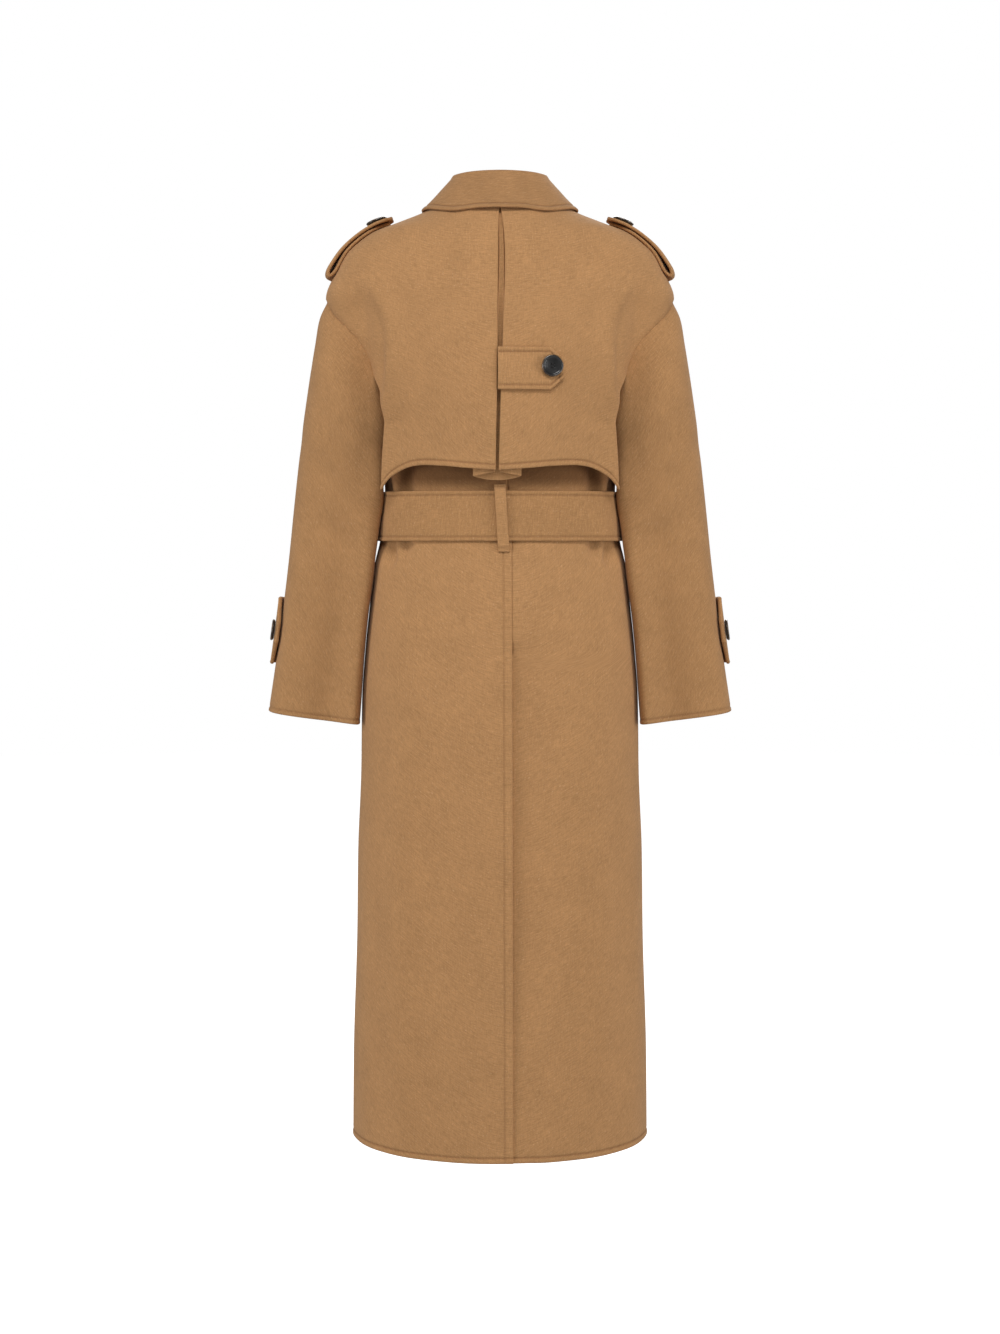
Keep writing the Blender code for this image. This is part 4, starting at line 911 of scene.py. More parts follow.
flap = dict(
    hem=np.array([  # x, height
        (0.0000, -0.3410), (0.0300, -0.3386), (0.0600, -0.3355), (0.0800, -0.3348),
        (0.0971, -0.3362), (0.1125, -0.3400), (0.1284, -0.3471), (0.1422, -0.3585),
        (0.1480, -0.3650),
    ]),
    side=np.array([  # height, angle of the free side
        (-0.2300, 40.5), (-0.2600, 38.5), (-0.3000, 35.6), (-0.3700, 32.0),
    ]),
    hang=np.array([  # height, stand off the back
        (0.01, 0.4 * mm), (-0.09, 0.6 * mm), (-0.13, 2.4 * mm), (-0.20, 7.5 * mm),
        (-0.28, 12.0 * mm), (-0.37, 15.5 * mm),
    ]),
    slit=np.array([  # height, left edge, right edge
        (0.00, -0.0005, 0.0005), (-0.026, -0.0006, 0.0006), (-0.035, -0.0014, 0.0020),
        (-0.055, -0.0020, 0.0044), (-0.0845, -0.0022, 0.0060), (-0.1718, -0.0028, 0.0034),
        (-0.2471, -0.0030, 0.0004), (-0.2948, -0.0040, -0.0008), (-0.3450, -0.0048, -0.0018),
    ]),
    # where the hanging field turns back towards the armhole: height, x
    drape=np.array([
        (-0.0850, 0.1760), (-0.1070, 0.1640), (-0.1320, 0.1490), (-0.1520, 0.1390),
        (-0.1750, 0.1330), (-0.2650, 0.1310),
    ]),
    drapeEase=9 * mm,
    rollRise=4.0 * mm,
    rollHalf=9 * mm,
    rollShift=0.6,                # shares of rollHalf
    rollTop=(-0.09, 0.05),
    turnedLow=(-0.265, 0.05),
    clear=0.8 * mm,
    joinFrom=(-0.232, 0.02),
    looseFrom=(-0.222, 0.022),
    edgeSink=1.2 * mm,
    edgeFrom=(0.92, 0.08),
    layers=(1.15, 1.4, 0.3),      # everywhere, more over the pleat, more beside the armhole
    padLow=(-0.12, 0.05),
    padReach=(0.042, 0.033),      # past the pleat: at the top, and more below
    padEase=(0.022, 0.028),
    reach=0.149,
    rows=(-0.006, -0.010, -0.018, -0.028, -0.040, -0.054, -0.070, -0.088, -0.107, -0.1256,
          -0.1300, -0.1380, -0.1500, -0.1700, -0.1950, -0.2250),
    hemStitch=6.7 * mm,
    step=4 * mm,
    width=0.15,
    lowerLength=0.12,
)

pleat = dict(
    halfWidth=0.0285,
    topHalf=0.0140,
    widerFrom=(-0.03, 0.17),
    deeperFrom=(-0.11, 0.13),
    shade=0.95,                   # painted shade deep inside the pleat
    shadeHalf=(0.45, 0.3),
    shadeLow=(-0.350, 0.02),
    hemZ=-0.3543,
    hemRise=0.0052,
    slitZ=-0.3428,                # where the returns' hems leave the slit
    pathRows=25,
    step=2.0 * mm,
    returned=0.47,                # share of the way to its middle that the returns take
    # across the pleat from the slit out and back to its middle: share of the half width, depth under
    # the flap's outside near the collar and near the hem
    path=np.array([
        (0.10, 2.0 * mm, 2.4 * mm), (0.40, 2.8 * mm, 3.6 * mm), (0.80, 3.0 * mm, 5.2 * mm),
        (0.97, 3.4 * mm, 6.0 * mm), (1.00, 4.2 * mm, 8.4 * mm), (0.95, 5.0 * mm, 10.6 * mm),
        (0.75, 5.4 * mm, 12.0 * mm), (0.35, 5.5 * mm, 13.0 * mm), (0.00, 5.5 * mm, 13.2 * mm),
    ]),
)

tab = dict(
    left=-0.003,
    shoulder=0.0588,
    tip=0.0738,
    top=-0.1945,
    bottom=-0.2445,
    tipHalf=0.011,
    stitch=5.8 * mm,
    step=1.3 * mm,
    bulge=0.25,
    bulgeBy=0.02,
    holeStart=0.0385,
    holeEnd=0.0520,
    holeZ=-0.2200,
    holeHalf=0.7 * mm,
    holeDepth=0.9 * mm,
    buttonShift=-5.6 * mm,
)


def pleatHalf(z):  # half width of the pleat, wider below
    return pleat["topHalf"] + (pleat["halfWidth"] - pleat["topHalf"]) * below(z, pleat["widerFrom"])


def flapStand(x, z, sewn=0.0):  # stand of the flap's outside; a layer more over the pleat
    low = below(z, flap["padLow"])
    reach = pleatHalf(z) + flap["padReach"][0] + flap["padReach"][1] * low
    overPleat = ease((reach - np.abs(x)) / (flap["padEase"][0] + flap["padEase"][1] * low))
    plain, pleated, atArmhole = flap["layers"]
    return (readTable(flap["hang"], z) * (1 - sewn)
            + cloth["layer"] * (plain + pleated * overPleat + atArmhole * sewn))


def flapHeights(places, hemZ, skip=0):
    knots = np.array(flap["rows"][skip:])
    steps = np.hypot(np.diff(knots), np.diff(section(knots, 1)))
    upper = wideRows(between(knots, flap["step"], steps), len(places))
    lower = spread(flap["lowerLength"], fineStart=False, coarse=flap["step"])[1:, None]
    return np.concatenate([upper, upper[-1] + (hemZ - upper[-1]) * lower])


def flapPiece(side):
    places = spread(flap["width"], coarse=flap["step"])
    z = flapHeights(places, readTable(flap["hem"], flap["reach"] * places))
    start = angleAt(side * readTable(flap["slit"], z, 2 if side > 0 else 1), z)
    free = -np.radians(readTable(flap["side"], z))
    sewnEdge = armholeAngle(z) - flap["clear"] / section(z, 1)
    loose = below(z, flap["looseFrom"])
    angle = start + (sewnEdge * (1 - loose) + free * loose - start) * places
    x = plainForm(angle, z)[..., 0]
    past = x - readTable(flap["drape"], z)
    turned = ease(past / flap["drapeEase"]) * above(z, flap["turnedLow"])
    roll = np.exp(-((past + flap["rollShift"] * flap["rollHalf"]) / flap["rollHalf"]) ** 2)
    sewnIn = above(z, flap["joinFrom"])
    stand = (flapStand(x, z, turned) + flap["rollRise"] * roll * below(z, flap["rollTop"])
             - flap["edgeSink"] * above(places, flap["edgeFrom"]) * sewnIn)
    grid = onForm(angle, z, stand, flapForm) * mirrored(side)
    clothPiece(sideName("storm_flap", side), grid, wool, sewnAt("bottom", at=flap["hemStitch"]),
               joined=dict(end=sewnIn[:, -1:]))


def pleatPiece():  # from the slit out to a fold, across behind the slit, and back to it
    half = throughRows(pleat["path"], pleat["pathRows"])
    share = np.concatenate([-half[:, 0], half[-2::-1, 0]])
    near, far = (np.concatenate([half[:, k], half[-2::-1, k]]) for k in (1, 2))
    step = np.hypot(np.diff(share) * pleat["halfWidth"], np.diff(far))
    along = runningSum(step)
    want = spread(along[-1], coarse=pleat["step"]) * along[-1]
    share, near, far = (np.interp(want, along, v) for v in (share, near, far))
    returned = np.minimum(want, along[-1] - want) < along[len(half) - 1] * pleat["returned"]
    middleHem = pleat["hemZ"] + pleat["hemRise"] * share ** 2
    returnHem = pleat["slitZ"] + (pleat["hemZ"] + pleat["hemRise"] - pleat["slitZ"]) * np.abs(share)
    z = flapHeights(share, np.where(returned, returnHem, middleHem), skip=1)
    x = pleatHalf(z) * share + 0.5 * (readTable(flap["slit"], z, 1) + readTable(flap["slit"], z, 2))
    stand = flapStand(x, z) - near - (far - near) * below(z, pleat["deeperFrom"])
    grid = onForm(angleAt(x, z), z, stand, flapForm)
    # painted shade on the middle of the pleat, seen through the slit
    inside = pleat["shade"] * below(np.abs(share), pleat["shadeHalf"]) * above(z, pleat["shadeLow"])
    clothPiece("storm_flap_pleat", grid, wool, shade=inside)


def acrossStrap(width):  # places from -1 to 1 across a strap
    return -1 + 2 * spread(width, coarse=cloth["strapStep"])


def strapEdge(place, shoulder, tip, half, tipHalf):  # half width of a strap, narrowing to its tip
    narrowed = half + (tipHalf - half) * (place - shoulder) / (tip - shoulder)
    return np.where(place < shoulder, half, narrowed)


def tabPiece():
    line = between(np.array([tab["left"], tab["shoulder"], tab["tip"]]), tab["step"])
    half = (tab["top"] - tab["bottom"]) / 2
    halfLine = strapEdge(line, tab["shoulder"], tab["tip"], half, tab["tipHalf"])
    across = acrossStrap(2 * half)
    z = (tab["top"] + tab["bottom"]) / 2 + halfLine[:, None] * across
    x = wideRows(line, len(across))
    bulge = tab["bulge"] * ease((x - tab["left"]) / tab["bulgeBy"])
    stand = flapStand(x, z) + cloth["layer"] * (1 + bulge)
    grid = onForm(angleAt(x, z), z, stand, flapForm)
    hole = np.exp(-((z - tab["holeZ"]) / tab["holeHalf"]) ** 2)
    hole = hole * above(x, (tab["holeStart"], 1 * mm)) * below(x, (tab["holeEnd"], 1 * mm))
    clothPiece("flap_tab", grid, wool, sewnAt("start", "end", "bottom", at=tab["stitch"]),
               rise=-tab["holeDepth"] * hole)


for side in (-1, 1):
    flapPiece(side)
pleatPiece()
tabPiece()
print("storm flap done")


# Shoulder tabs and cuff tabs

epaulette = dict(
    # height of the shoulder line below it, stand off it, out to the fold and back beneath
    path=np.array([
        (-0.0358, 11.3 * mm), (-0.0390, 12.0 * mm), (-0.0430, 12.0 * mm), (-0.0500, 11.8 * mm),
        (-0.0600, 12.0 * mm), (-0.0720, 12.4 * mm), (-0.0820, 13.6 * mm), (-0.0900, 14.9 * mm),
        (-0.0963, 15.2 * mm), (-0.1015, 13.8 * mm), (-0.1030, 11.2 * mm), (-0.1005, 9.0 * mm),
        (-0.0950, 7.5 * mm), (-0.0860, 7.0 * mm), (-0.0740, 7.0 * mm), (-0.0620, 7.0 * mm),
        (-0.0520, 7.0 * mm), (-0.0430, 7.0 * mm), (-0.0375, 7.0 * mm),
    ]),
    halfWidth=0.026,
    tipRows=(0.42, 0.80),
    rows=60,
    thick=3.6 * mm,
    stitch=5.5 * mm,
)

cuffTab = dict(
    start=0.815,
    end=0.925,
    front=-85.0,
    shoulder=14.0,
    tip=27.0,
    tipHalf=0.3,
    seat=0.4 * mm,
    stand=2.4 * mm,
    standBy=30.0,
    thick=4.4 * mm,
    stitch=5.0 * mm,
    step=1.3,             # degrees
    width=0.06,
)


def epaulettePiece(side):
    path = throughRows(epaulette["path"], epaulette["rows"])
    narrow = np.ones(len(epaulette["path"]))
    narrow[:2], narrow[-2:] = epaulette["tipRows"], epaulette["tipRows"][::-1]
    narrow = throughRows(narrow[:, None], epaulette["rows"])[:, 0]
    half = epaulette["halfWidth"] * np.clip(narrow, 0, 1)
    across = acrossStrap(2 * epaulette["halfWidth"])
    y = half[:, None] * across
    z, stand = (wideRows(path[:, k], len(across)) for k in (0, 1))
    depth = sectionDepth(y, z)
    middle = onForm(np.arcsin(y / depth), z, stand)
    out = unitRows(np.cross(np.gradient(middle, axis=1), np.gradient(middle, axis=0)))
    out = out * np.sign(out[0, :, 2].mean())
    grid = (middle + out * epaulette["thick"] / 2) * mirrored(side)
    clothPiece(sideName("epaulette", side), grid, wool,
               sewnAt("start", "end", "top", at=epaulette["stitch"]), thick=epaulette["thick"],
               outside=out * mirrored(side))


def cuffTabPiece(side):
    knots = np.radians([cuffTab["front"], cuffTab["shoulder"], cuffTab["tip"]])
    turn = between(knots, np.radians(cuffTab["step"]))
    half = (cuffTab["end"] - cuffTab["start"]) / 2
    halfLine = strapEdge(turn, knots[1], knots[2], half, half * cuffTab["tipHalf"])
    across = acrossStrap(cuffTab["width"])
    place = (cuffTab["end"] + cuffTab["start"]) / 2 + halfLine[:, None] * across
    around = wideRows(turn, len(across))
    lift = cuffTab["stand"] * ease((turn - turn[0]) / np.radians(cuffTab["standBy"]))
    stand = (cuffTab["seat"] + cuffTab["thick"] + lift)[:, None, None]
    normal = sleeveNormal(place, around)
    grid = (sleeveOval(place, around) + normal * stand) * mirrored(side)
    clothPiece(sideName("cuff_tab", side), grid, wool,
               sewnAt("start", "end", "bottom", at=cuffTab["stitch"]), thick=cuffTab["thick"],
               outside=normal * mirrored(side))


for side in (-1, 1):
    epaulettePiece(side)
    cuffTabPiece(side)
print("tabs done")


# Collar

collar = dict(
    # plan ovals of the seam, the fold and the edge: half width, back, front, reach in degrees
    seam=dict(side=0.0705, back=0.0655, front=0.0585, reach=114.0),
    fold=dict(side=0.0580, back=0.0600, front=0.0660, reach=115.0),
    edge=dict(side=0.0980, back=0.1010, front=0.1150, reach=134.0),
    foldZ=0.0268,
    foldDrop=0.0120,
    backEdgeZ=-0.0232,
    foldRadius=4.5 * mm,
    lift=1.2 * mm,
    frontLift=4.5 * mm,
    hollow=1.0 * mm,
    seamDrop=1.1 * mm,
    seamInset=1.5 * mm,
    forward=(0.62, 0.38),         # shares of the half length
    frontFrom=(0.70, 0.2),
    backTo=(0.50, 0.40),
    fallFrom=(0.45, 0.05),        # share of the way from the neck seam to the edge
    stitch=7.0 * mm,
    length=0.42,
    step=4 * mm,
    rows=73,
)


def formHeight(x, y):  # height of the shoulders above a place in plan, by halving
    high, low = (np.full_like(x, limit) for limit in coat["shoulderRange"])
    for _ in range(40):
        z = (high + low) / 2
        depth = sectionDepth(y, z)
        within = (x / section(z, 1)) ** 2 + (y / depth) ** 2 < 1
        low, high = np.where(within, z, low), np.where(within, high, z)
    return z


def planCurve(place, oval):  # x = a sin(t), y = -b cos(t)
    turn = np.radians(oval["reach"]) * place
    depth = np.where(np.cos(turn) > 0, oval["back"], oval["front"])
    return np.stack([oval["side"] * np.sin(turn), -depth * np.cos(turn)], axis=-1)


def collarPiece():
    place = -1 + 2 * spread(collar["length"], coarse=collar["step"])
    away = np.abs(place)
    seam, fold, edge = (planCurve(place, collar[k]) for k in ("seam", "fold", "edge"))
    along = np.gradient(fold, axis=0)
    out = unitRows(np.stack([along[:, 1], -along[:, 0]], axis=-1))
    foldZ = collar["foldZ"] - collar["foldDrop"] * above(away, collar["forward"])
    onShoulder = formHeight(edge[:, 0], edge[:, 1]) + 2 * cloth["layer"] + collar["lift"]
    onShoulder += collar["frontLift"] * above(away, collar["frontFrom"])
    edgeZ = onShoulder + (collar["backEdgeZ"] - onShoulder) * below(away, collar["backTo"])
    r = collar["foldRadius"]

    def lift(plan, height, shift):  # a row of points at a height, moved outwards
        height = np.broadcast_to(height, len(plan))[:, None]
        return np.concatenate([plan + out * shift, height], axis=1)

    base = lift(seam, coat["neckZ"] - collar["seamDrop"], -collar["seamInset"])
    inside, outside, end = lift(fold, foldZ - r, -r), lift(fold, foldZ - r, r), lift(edge, edgeZ, 0.0)
    sag = np.concatenate([-out * collar["hollow"], np.zeros((len(place), 1))], axis=1)
    rows = [base, (base + inside) / 2, inside, lift(fold, foldZ - 0.3 * r, -0.7 * r),
            lift(fold, foldZ, 0.0), lift(fold, foldZ - 0.3 * r, 0.7 * r), outside,
            outside * 0.66 + end * 0.34 + sag * 0.5, outside * 0.33 + end * 0.67 + sag, end]
    rows = throughRows(rows, collar["rows"])
    steps = np.linalg.norm(np.diff(rows, axis=0), axis=-1).mean(axis=1)
    lengths = runningSum(steps)
    want = spread(lengths[-1], fineStart=False, coarse=cloth["strapStep"]) * lengths[-1]
    middle = np.stack([[np.interp(want, lengths, rows[:, c, k]) for k in range(3)]
                       for c in range(rows.shape[1])]).transpose(2, 0, 1)
    normal = gridNormals(middle)
    normal = normal * np.sign(np.sum(normal[-1, :, :2] * out, axis=-1).mean())
    fall = wideRows(above(want / lengths[-1], collar["fallFrom"]), len(place))
    sewn = sewnAt("bottom", at=collar["stitch"])
    sewn += sewnAt("start", "end", at=collar["stitch"], mask=fall)
    clothPiece("collar", middle + normal * cloth["thick"] / 2, collarShadedWool, sewn, outside=normal)


collarPiece()
print("collar done")


# Belt and loop

belt = dict(
    topZ=-0.3670,
    bottomZ=-0.4285,
    width=0.0615,
    columns=300,
    stand=0.8 * mm,
    start=96.0,           # degrees
    overlap=62.0,
    riseAfter=330.0,
    riseOver=26.0,
    stitch=5.5 * mm,
    stitchStrength=0.8,
)

loop = dict(width=0.014, x=0.0022, topZ=-0.3632, bottomZ=-0.4375, gap=0.6 * mm, bend=5 * mm,
            lean=-0.06, past=0.004, step=1.5 * mm)


def beltSurface(angle, z):  # straight from the belt's bottom to its top edge, round the waist
    middle = np.full_like(z, (belt["bottomZ"] + belt["topZ"]) / 2)
    waist = plainForm(angle, middle)
    edges = []
    for level in (belt["bottomZ"], belt["topZ"]):
        own = plainForm(angle, np.full_like(z, level))
        edges.append(np.maximum(np.abs(waist), np.abs(own)) * np.sign(own))
    up = ((z - belt["bottomZ"]) / (belt["topZ"] - belt["bottomZ"]))[..., None]
    point = edges[0] * (1 - up) + edges[1] * up
    point[..., 2] = z
    return point, unitRows(formNormals(plainForm, angle, middle) * (1.0, 1.0, 0.0))


def beltPiece():
    end = belt["start"] + 360.0 + belt["overlap"]
    turn = np.radians(np.linspace(belt["start"], end, belt["columns"]))
    rise = ease((turn - np.radians(belt["start"] + belt["riseAfter"])) / np.radians(belt["riseOver"]))
    places = spread(belt["width"], coarse=cloth["strapStep"])
    z = belt["topZ"] + (belt["bottomZ"] - belt["topZ"]) * places
    angle = wideRows(turn, len(z))
    point, normal = beltSurface(angle, np.broadcast_to(z, angle.shape))
    stand = belt["stand"] + cloth["thick"] + cloth["layer"] * rise
    grid = point + normal * stand[:, None, None]
    clothPiece("belt", grid, beltWool,
               sewnAt("start", "end", at=belt["stitch"], strength=belt["stitchStrength"]),
               outside=normal)


def loopPiece():
    waist, _ = beltSurface(np.full(2, -np.pi / 2), np.array([belt["topZ"], belt["bottomZ"]]))
    reach = waist[:, 1].min() - belt["stand"] - 2 * cloth["thick"] - loop["gap"]
    ends = np.array([loop["topZ"] + loop["past"], loop["bottomZ"] - loop["past"]])
    z = between(ends, loop["step"])
    body = coatForm(np.full(len(z), -np.pi / 2), z)[:, 1] - loop["gap"] - cloth["thick"]
    over = (ease((loop["topZ"] + loop["step"] - z) / loop["bend"])
            * ease((z - loop["bottomZ"] + loop["step"]) / loop["bend"]))
    y = body * (1 - over) + np.minimum(reach, body) * over
    x = loop["x"] + np.array([-0.5, -0.3, 0.3, 0.5]) * loop["width"]
    x = x[None, :] + ((z - z.mean()) * loop["lean"])[:, None]
    grid = np.stack([x, wideRows(y, 4), wideRows(z, 4)], axis=-1)
    clothPiece("belt_loop", grid, wool, outside=np.zeros_like(grid) + (0, -1, 0))


beltPiece()
loopPiece()
print("belt done")


# Buttons and buckle

button = dict(
    radius=13.5 * mm,
    thick=4.0 * mm,
    rim=2.6 * mm,
    dish=1.5 * mm,
    bowl=0.9 * mm,        # how much deeper the dish is in its middle
    bowlFrom=0.62,
    amber=(0.955, 0.035),  # ring of lighter horn: its middle and half width, in radii
    holeOut=2.6 * mm,
    holeRadius=1.1 * mm,
    holeEase=0.45 * mm,
    holeDepth=1.6 * mm,
    lift=0.3 * mm,
    liftOnWool=1.4 * mm,
    thread=0.22 * mm,
    threadPitch=0.35 * mm,
    threadBow=0.45 * mm,
    threadDip=0.9 * mm,
    threadTurn=(0.8, 0.25),
    threadReach=1.05,
    rimRows=50,
    bowlRows=34,
    dishRow=44,           # last row of the profile outside the dish
    columns=72,
)

buckle = dict(halfWidth=0.026, halfHeight=0.039, corner=0.45, barHalf=3 * mm, barFlat=2 * mm,
              barRound=0.7, gap=0.6 * mm, columns=120, sides=20)

horn = dict(stretch=(1.0, 1.0, 0.35), scale=160.0, detail=4.0, noiseRough=0.6, stops=(0.38, 0.66),
            rough=0.30, gloss=0.8, glossRough=0.08)
# dark and light colour of the streaks in the horn
hornLooks = dict(
    darkHorn=((0.006, 0.006, 0.006), (0.016, 0.015, 0.015)),
    amberHorn=((0.030, 0.014, 0.006), (0.30, 0.16, 0.055)),
)


def hornMaterial(name):
    material, tree, shader = newMaterial(name)
    where = tree.nodes.new("ShaderNodeTexCoord")
    streak = noiseNode(tree, where.outputs["Object"], horn["stretch"], horn["scale"],
                       horn["detail"], horn["noiseRough"])
    stops = [(at, (*colour, 1)) for at, colour in zip(horn["stops"], hornLooks[name])]
    tree.links.new(colourRamp(tree, streak, stops), shader.inputs["Base Color"])
    setInputs(shader, {"Roughness": horn["rough"], "Coat Weight": horn["gloss"],
                       "Coat Roughness": horn["glossRough"]})
    return material


darkHorn, amberHorn = hornMaterial("darkHorn"), hornMaterial("amberHorn")


def nodeDisc(node, hint):  # centre and outward normal of a CAD button: its thinnest direction
    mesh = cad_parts[node].data
    points = np.empty(len(mesh.vertices) * 3, np.float32)
    mesh.vertices.foreach_get("co", points)
    points = points.reshape(-1, 3).astype(float)
    centre = (points.min(axis=0) + points.max(axis=0)) / 2
    _, _, axes = np.linalg.svd(points - points.mean(axis=0), full_matrices=False)
    normal = axes[2] * np.sign(axes[2] @ hint)
    ahead = (points - centre) @ normal
    return centre + normal * ahead.min(), normal


def buttonProfile():  # radius and height, from the back's middle round the rim to the dish's middle
    big, thick, rim, dish = (button[k] for k in ("radius", "thick", "rim", "dish"))
    edge = np.array([
        (0.05 * mm, 0.0), (0.5 * big, 0.0), (0.80 * big, 0.0), (0.93 * big, 0.22 * thick),
        (big, 0.52 * thick), (0.985 * big, 0.78 * thick), (0.94 * big, 0.94 * thick),
        (0.89 * big, thick), (big - rim + 0.5 * mm, 0.97 * thick),
        (big - rim - 0.4 * mm, thick - 0.55 * dish), (big - rim - 1.3 * mm, thick - 0.9 * dish),
        (button["bowlFrom"] * big, thick - dish),
    ])
    inner = np.linspace(button["bowlFrom"] * big, 0.05 * mm, button["bowlRows"])[1:]
    deeper = button["bowl"] * (1 - (inner / (button["bowlFrom"] * big)) ** 2)
    bowl = np.stack([inner, thick - dish - deeper], axis=1)
    return np.concatenate([throughRows(edge, button["rimRows"]), bowl])


def buttonPiece(node, hint):
    base, normal = nodeDisc(node, np.array(hint, float))
    base = base + np.array([tab["buttonShift"] if "flap" in node else 0.0, 0.0, 0.0])
    lift = button["liftOnWool" if "flap" in node or "front" in node else "lift"]
    upright = (0.0, 0.0, 1.0) if abs(normal[2]) < 0.9 else (0.0, 1.0, 0.0)
    side = unitRows(np.cross(normal, upright))
    other = np.cross(normal, side)
    profile = buttonProfile()
    turn = fullTurn(button["columns"])
    u, v = profile[:, :1] * np.cos(turn), profile[:, :1] * np.sin(turn)
    h = wideRows(profile[:, 1], len(turn))
    onDish = (np.arange(len(profile)) > button["dishRow"])[:, None]
    for k in range(4):
        hole = np.pi * (k + 0.5) / 2
        hu, hv = button["holeOut"] * np.array([np.cos(hole), np.sin(hole)])
        within = ease((button["holeRadius"] - np.hypot(u - hu, v - hv)) / button["holeEase"])
        h = h - onDish * button["holeDepth"] * within
    points = (base + normal * lift + u[..., None] * side + v[..., None] * other
              + h[..., None] * normal).reshape(-1, 3)
    quads = gridCorners(closedColumns(np.arange(len(points)).reshape(u.shape)))
    piece = meshPiece(node + "_horn", points, quads, darkHorn)
    closeEnds(piece)
    piece.data.materials.append(amberHorn)
    middle, half = button["amber"]
    ring = ((np.abs(profile[:-1, 0] - middle * button["radius"]) < half * button["radius"])
            & (profile[:-1, 1] > 0.5 * button["thick"]))
    slots = np.zeros(len(piece.data.polygons), np.int32)
    slots[: len(quads)] = np.repeat(ring, len(turn))
    piece.data.polygons.foreach_set("material_index", slots)
    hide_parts(node)
    onBowl = base + normal * (lift + button["thick"] - button["dish"])
    buttonThread(onBowl, normal, side, other)


def closeEnds(piece):  # fills the small open ends of a turned piece
    bm = bmesh.new()
    bm.from_mesh(piece.data)
    bmesh.ops.holes_fill(bm, edges=[e for e in bm.edges if e.is_boundary], sides=0)
    bm.to_mesh(piece.data)
    bm.free()
    piece.data.shade_smooth()


def buttonThread(centre, normal, side, other):  # two bars of thread through the four holes
    reach = button["holeOut"] * np.sqrt(0.5)
    t = np.linspace(-1, 1, 9)
    dip = button["threadDip"] * above(np.abs(t), button["threadTurn"])
    bend = button["threadBow"] * (1 - t ** 4) - dip
    for sign in (-1, 1):
        for k in (-1, 0, 1):
            across = sign * reach + k * button["threadPitch"]
            along = (t * reach * button["threadReach"])[:, None]
            points = centre + along * side + across * other + bend[:, None] * normal
            threadBars.append((points, button["thread"]))


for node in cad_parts:
    if "button" in node:
        outward = (0, -1, 0) if "flap" in node else (0, 0, 1) if "epaulette" in node else (0, 1, 0)
        if "cuff" in node:
            outward = (1 if "right" in node else -1, -0.6, 0)
        buttonPiece(node, outward)
print("buttons done")


def tubeMesh(runs, sides):  # tubes c(s) + r (cos t side + sin t other), narrow at both ends
    points, quads, count = [], [], 0
    turn = fullTurn(sides)
    for path, radius in runs:
        along = unitRows(np.gradient(path, axis=0))
        upright = (0.0, 0.0, 1.0) if abs(along[len(along) // 2][2]) < 0.9 else (0.0, 1.0, 0.0)
        side = unitRows(np.cross(along, upright))
        other = np.cross(along, side)
        wide = np.full(len(path), radius)
        wide[0] = wide[-1] = radius * 0.1
        spokes = (np.cos(turn)[None, :, None] * side[:, None]
                  + np.sin(turn)[None, :, None] * other[:, None])
        points.append((path[:, None] + wide[:, None, None] * spokes).reshape(-1, 3))
        index = count + np.arange(len(path) * sides).reshape(-1, sides)
        quads.append(gridCorners(closedColumns(index)))
        count += len(path) * sides
    return np.concatenate(points), np.concatenate(quads)


def bucklePiece():  # rounded frame curved like the belt: |x/a|^n + |z/b|^n = 1 with a round section
    def rounded(wave, power):
        return np.sign(wave) * np.abs(wave) ** power

    middle = (belt["bottomZ"] + belt["topZ"]) / 2
    turn = fullTurn(buckle["columns"])
    bar = fullTurn(buckle["sides"])
    stand = belt["stand"] + cloth["thick"] + cloth["layer"] + buckle["gap"]
    inset = buckle["barHalf"] * (1 - rounded(np.cos(bar), buckle["barRound"]))
    proud = buckle["barFlat"] * (1 + rounded(np.sin(bar), buckle["barRound"]))
    ringX = (buckle["halfWidth"] - inset[None, :]) * rounded(np.cos(turn), buckle["corner"])[:, None]
    ringZ = (buckle["halfHeight"] - inset[None, :]) * rounded(np.sin(turn), buckle["corner"])[:, None]
    level = np.clip(ringZ + middle, belt["bottomZ"], belt["topZ"])
    point, normal = beltSurface(angleAt(ringX, level, ahead=True), level)
    point = point + normal * (stand + proud)[None, :, None]
    point[..., 2] = ringZ + middle
    index = np.arange(ringX.size).reshape(ringX.shape)
    index = closedColumns(np.concatenate([index, index[:1]], axis=0))
    piece = meshPiece("buckle_frame", point.reshape(-1, 3), gridCorners(index), darkHorn)
    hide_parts("buckle")


bucklePiece()
print("buckle done")


# Sewing

sewing = dict(pitch=3.4 * mm, length=2.5 * mm, radius=0.24 * mm, proud=0.05 * mm, dip=0.45 * mm,
              inGroove=0.75,
              # the four rings of one stitch: shares of its length, its dip and its radius
              along=np.array([-0.5, -0.28, 0.28, 0.5]), dips=np.array([-1.0, 0.0, 0.0, -1.0]),
              sizes=np.array([0.5, 1.0, 1.0, 0.5]))


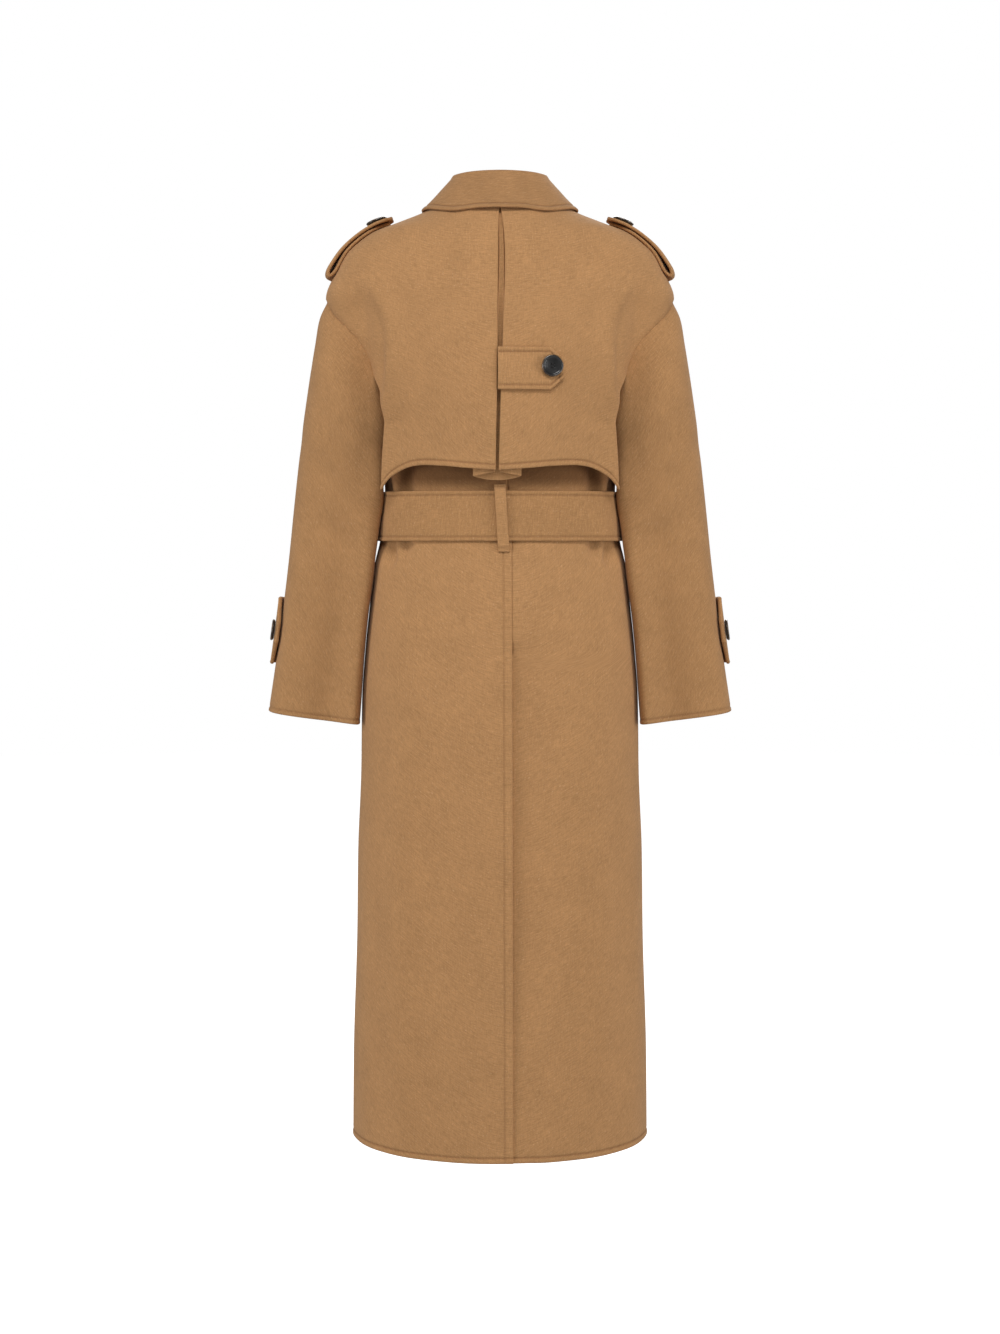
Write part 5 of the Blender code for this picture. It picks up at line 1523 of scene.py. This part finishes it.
def stitchBatch(points, normals):  # short tubes along a line, their ends dipping into the cloth
    s = runningSum(np.linalg.norm(np.diff(points, axis=0), axis=-1))
    if s[-1] < 2 * sewing["pitch"]:
        return np.zeros((0, 4, 4, 3))
    at = np.arange(sewing["pitch"] / 2, s[-1] - sewing["pitch"] / 2, sewing["pitch"])
    depths = (sewing["dips"] * sewing["dip"] + sewing["proud"]
              - cloth["grooveDepth"] * sewing["inGroove"])
    sizes = sewing["sizes"] * sewing["radius"]
    where = at[:, None] + sewing["along"] * sewing["length"]
    line = np.stack([np.interp(where, s, points[:, k]) for k in range(3)], axis=-1)
    up = unitRows(np.stack([np.interp(where, s, normals[:, k]) for k in range(3)], axis=-1))
    along = unitRows(line[:, -1:] - line[:, :1]) + 0 * line
    side = unitRows(np.cross(along, up))
    centre = line + up * depths[:, None]
    turn = np.arange(4) * np.pi / 2
    return (centre[:, :, None] + sizes[:, None, None] * (np.cos(turn)[:, None] * side[:, :, None]
                                                         + np.sin(turn)[:, None] * up[:, :, None]))


def threadPieces():  # all the stitches as one piece, all the threads through the buttons as another
    batches = np.concatenate([stitchBatch(p, n) for p, n in stitchRuns if len(p) > 3])
    index = np.arange(16).reshape(4, 4)
    one = np.concatenate([gridCorners(closedColumns(index)), index[:1, ::-1], index[-1:]])
    quads = (one[None] + 16 * np.arange(len(batches))[:, None, None]).reshape(-1, 4)
    stitches = meshPiece("stitches", batches.reshape(-1, 3), quads, thread)
    buttonThreads = meshPiece("button_threads", *tubeMesh(threadBars, 6), darkThread)
    closeEnds(buttonThreads)
    print(len(batches), "stitches")


threadPieces()


# Floor, light and camera

studio = dict(floorZ=-1.50, floorRadius=9.0, floorColour=(0.45, 0.45, 0.45, 1), floorRough=0.9,
              floorSides=96, fill=0.20, background=1.0,
              # place, target, size and power of each soft lamp
              lamps=dict(key=((0.0, -2.6, 2.4), (0, 0, -0.6), (2.4, 1.0), 79.0),
                         right=((2.9, -1.5, -0.3), (0, 0, -0.7), (1.2, 1.8), 44.0),
                         left=((-2.9, -1.5, -0.3), (0, 0, -0.7), (1.2, 1.8), 44.0),
                         front=((0.6, 3.2, 1.6), (0, 0, -0.5), (2.4, 1.6), 70.0)))


def cameraRays(tree):  # 1 for what the camera sees itself, 0 for light that comes back from it
    return tree.nodes.new("ShaderNodeLightPath").outputs["Is Camera Ray"]


def stagePiece():  # round white floor below the hem
    turn = fullTurn(studio["floorSides"])
    rim = np.stack([np.cos(turn), np.sin(turn), 0 * turn], axis=-1) * studio["floorRadius"]
    mesh = bpy.data.meshes.new("studio_floor")
    mesh.from_pydata((rim + (0, 0, studio["floorZ"])).tolist(), [], [list(range(len(rim)))])
    material, tree, shader = newMaterial("paleFloor")
    setInputs(shader, {"Base Color": studio["floorColour"], "Roughness": studio["floorRough"],
                       "Emission Color": (1, 1, 1, 1)})
    tree.links.new(cameraRays(tree), shader.inputs["Emission Strength"])
    mesh.materials.append(material)
    newObject("studio_floor", mesh)


def areaLight(name, place, target, size, power):
    light = bpy.data.lights.new(name, "AREA")
    light.shape = "RECTANGLE"
    light.size, light.size_y = size
    light.energy = power
    lamp = newObject(name, light)
    lamp.location = place
    look = np.array(target) - np.array(place)
    lamp.rotation_euler = Vector(look).to_track_quat("-Z", "Y").to_euler()


stagePiece()
for name, (place, target, size, power) in studio["lamps"].items():
    areaLight(name, place, target, size, power)
world = bpy.data.worlds.new("studio")
bpy.context.scene.world = world
world.use_nodes = True
sky = world.node_tree.nodes["Background"]
sky.inputs["Color"].default_value = (1.0, 1.0, 1.0, 1)
seen = mathNode(world.node_tree, "MULTIPLY_ADD", cameraRays(world.node_tree),
                studio["background"] - studio["fill"], studio["fill"])
world.node_tree.links.new(seen, sky.inputs["Strength"])
bpy.context.scene.view_settings.view_transform = "Standard"

# the camera looks down so that the middle of the view is 127 pixels below eye level, at 2362
# pixels of focal length
view = dict(place=(0.0, -3.0, -0.427), drop=np.arctan(127 / 2362), fieldOfView=np.radians(31.5),
            sensor=36.0)
cameraData = bpy.data.cameras.new("camera")
cameraData.sensor_width = view["sensor"]
cameraData.lens = view["sensor"] / 2 / np.tan(view["fieldOfView"] / 2)
camera = newObject("camera", cameraData)
camera.location = view["place"]
camera.rotation_euler = (np.pi / 2 - view["drop"], 0, 0)
bpy.context.scene.camera = camera
print("light and camera ready")
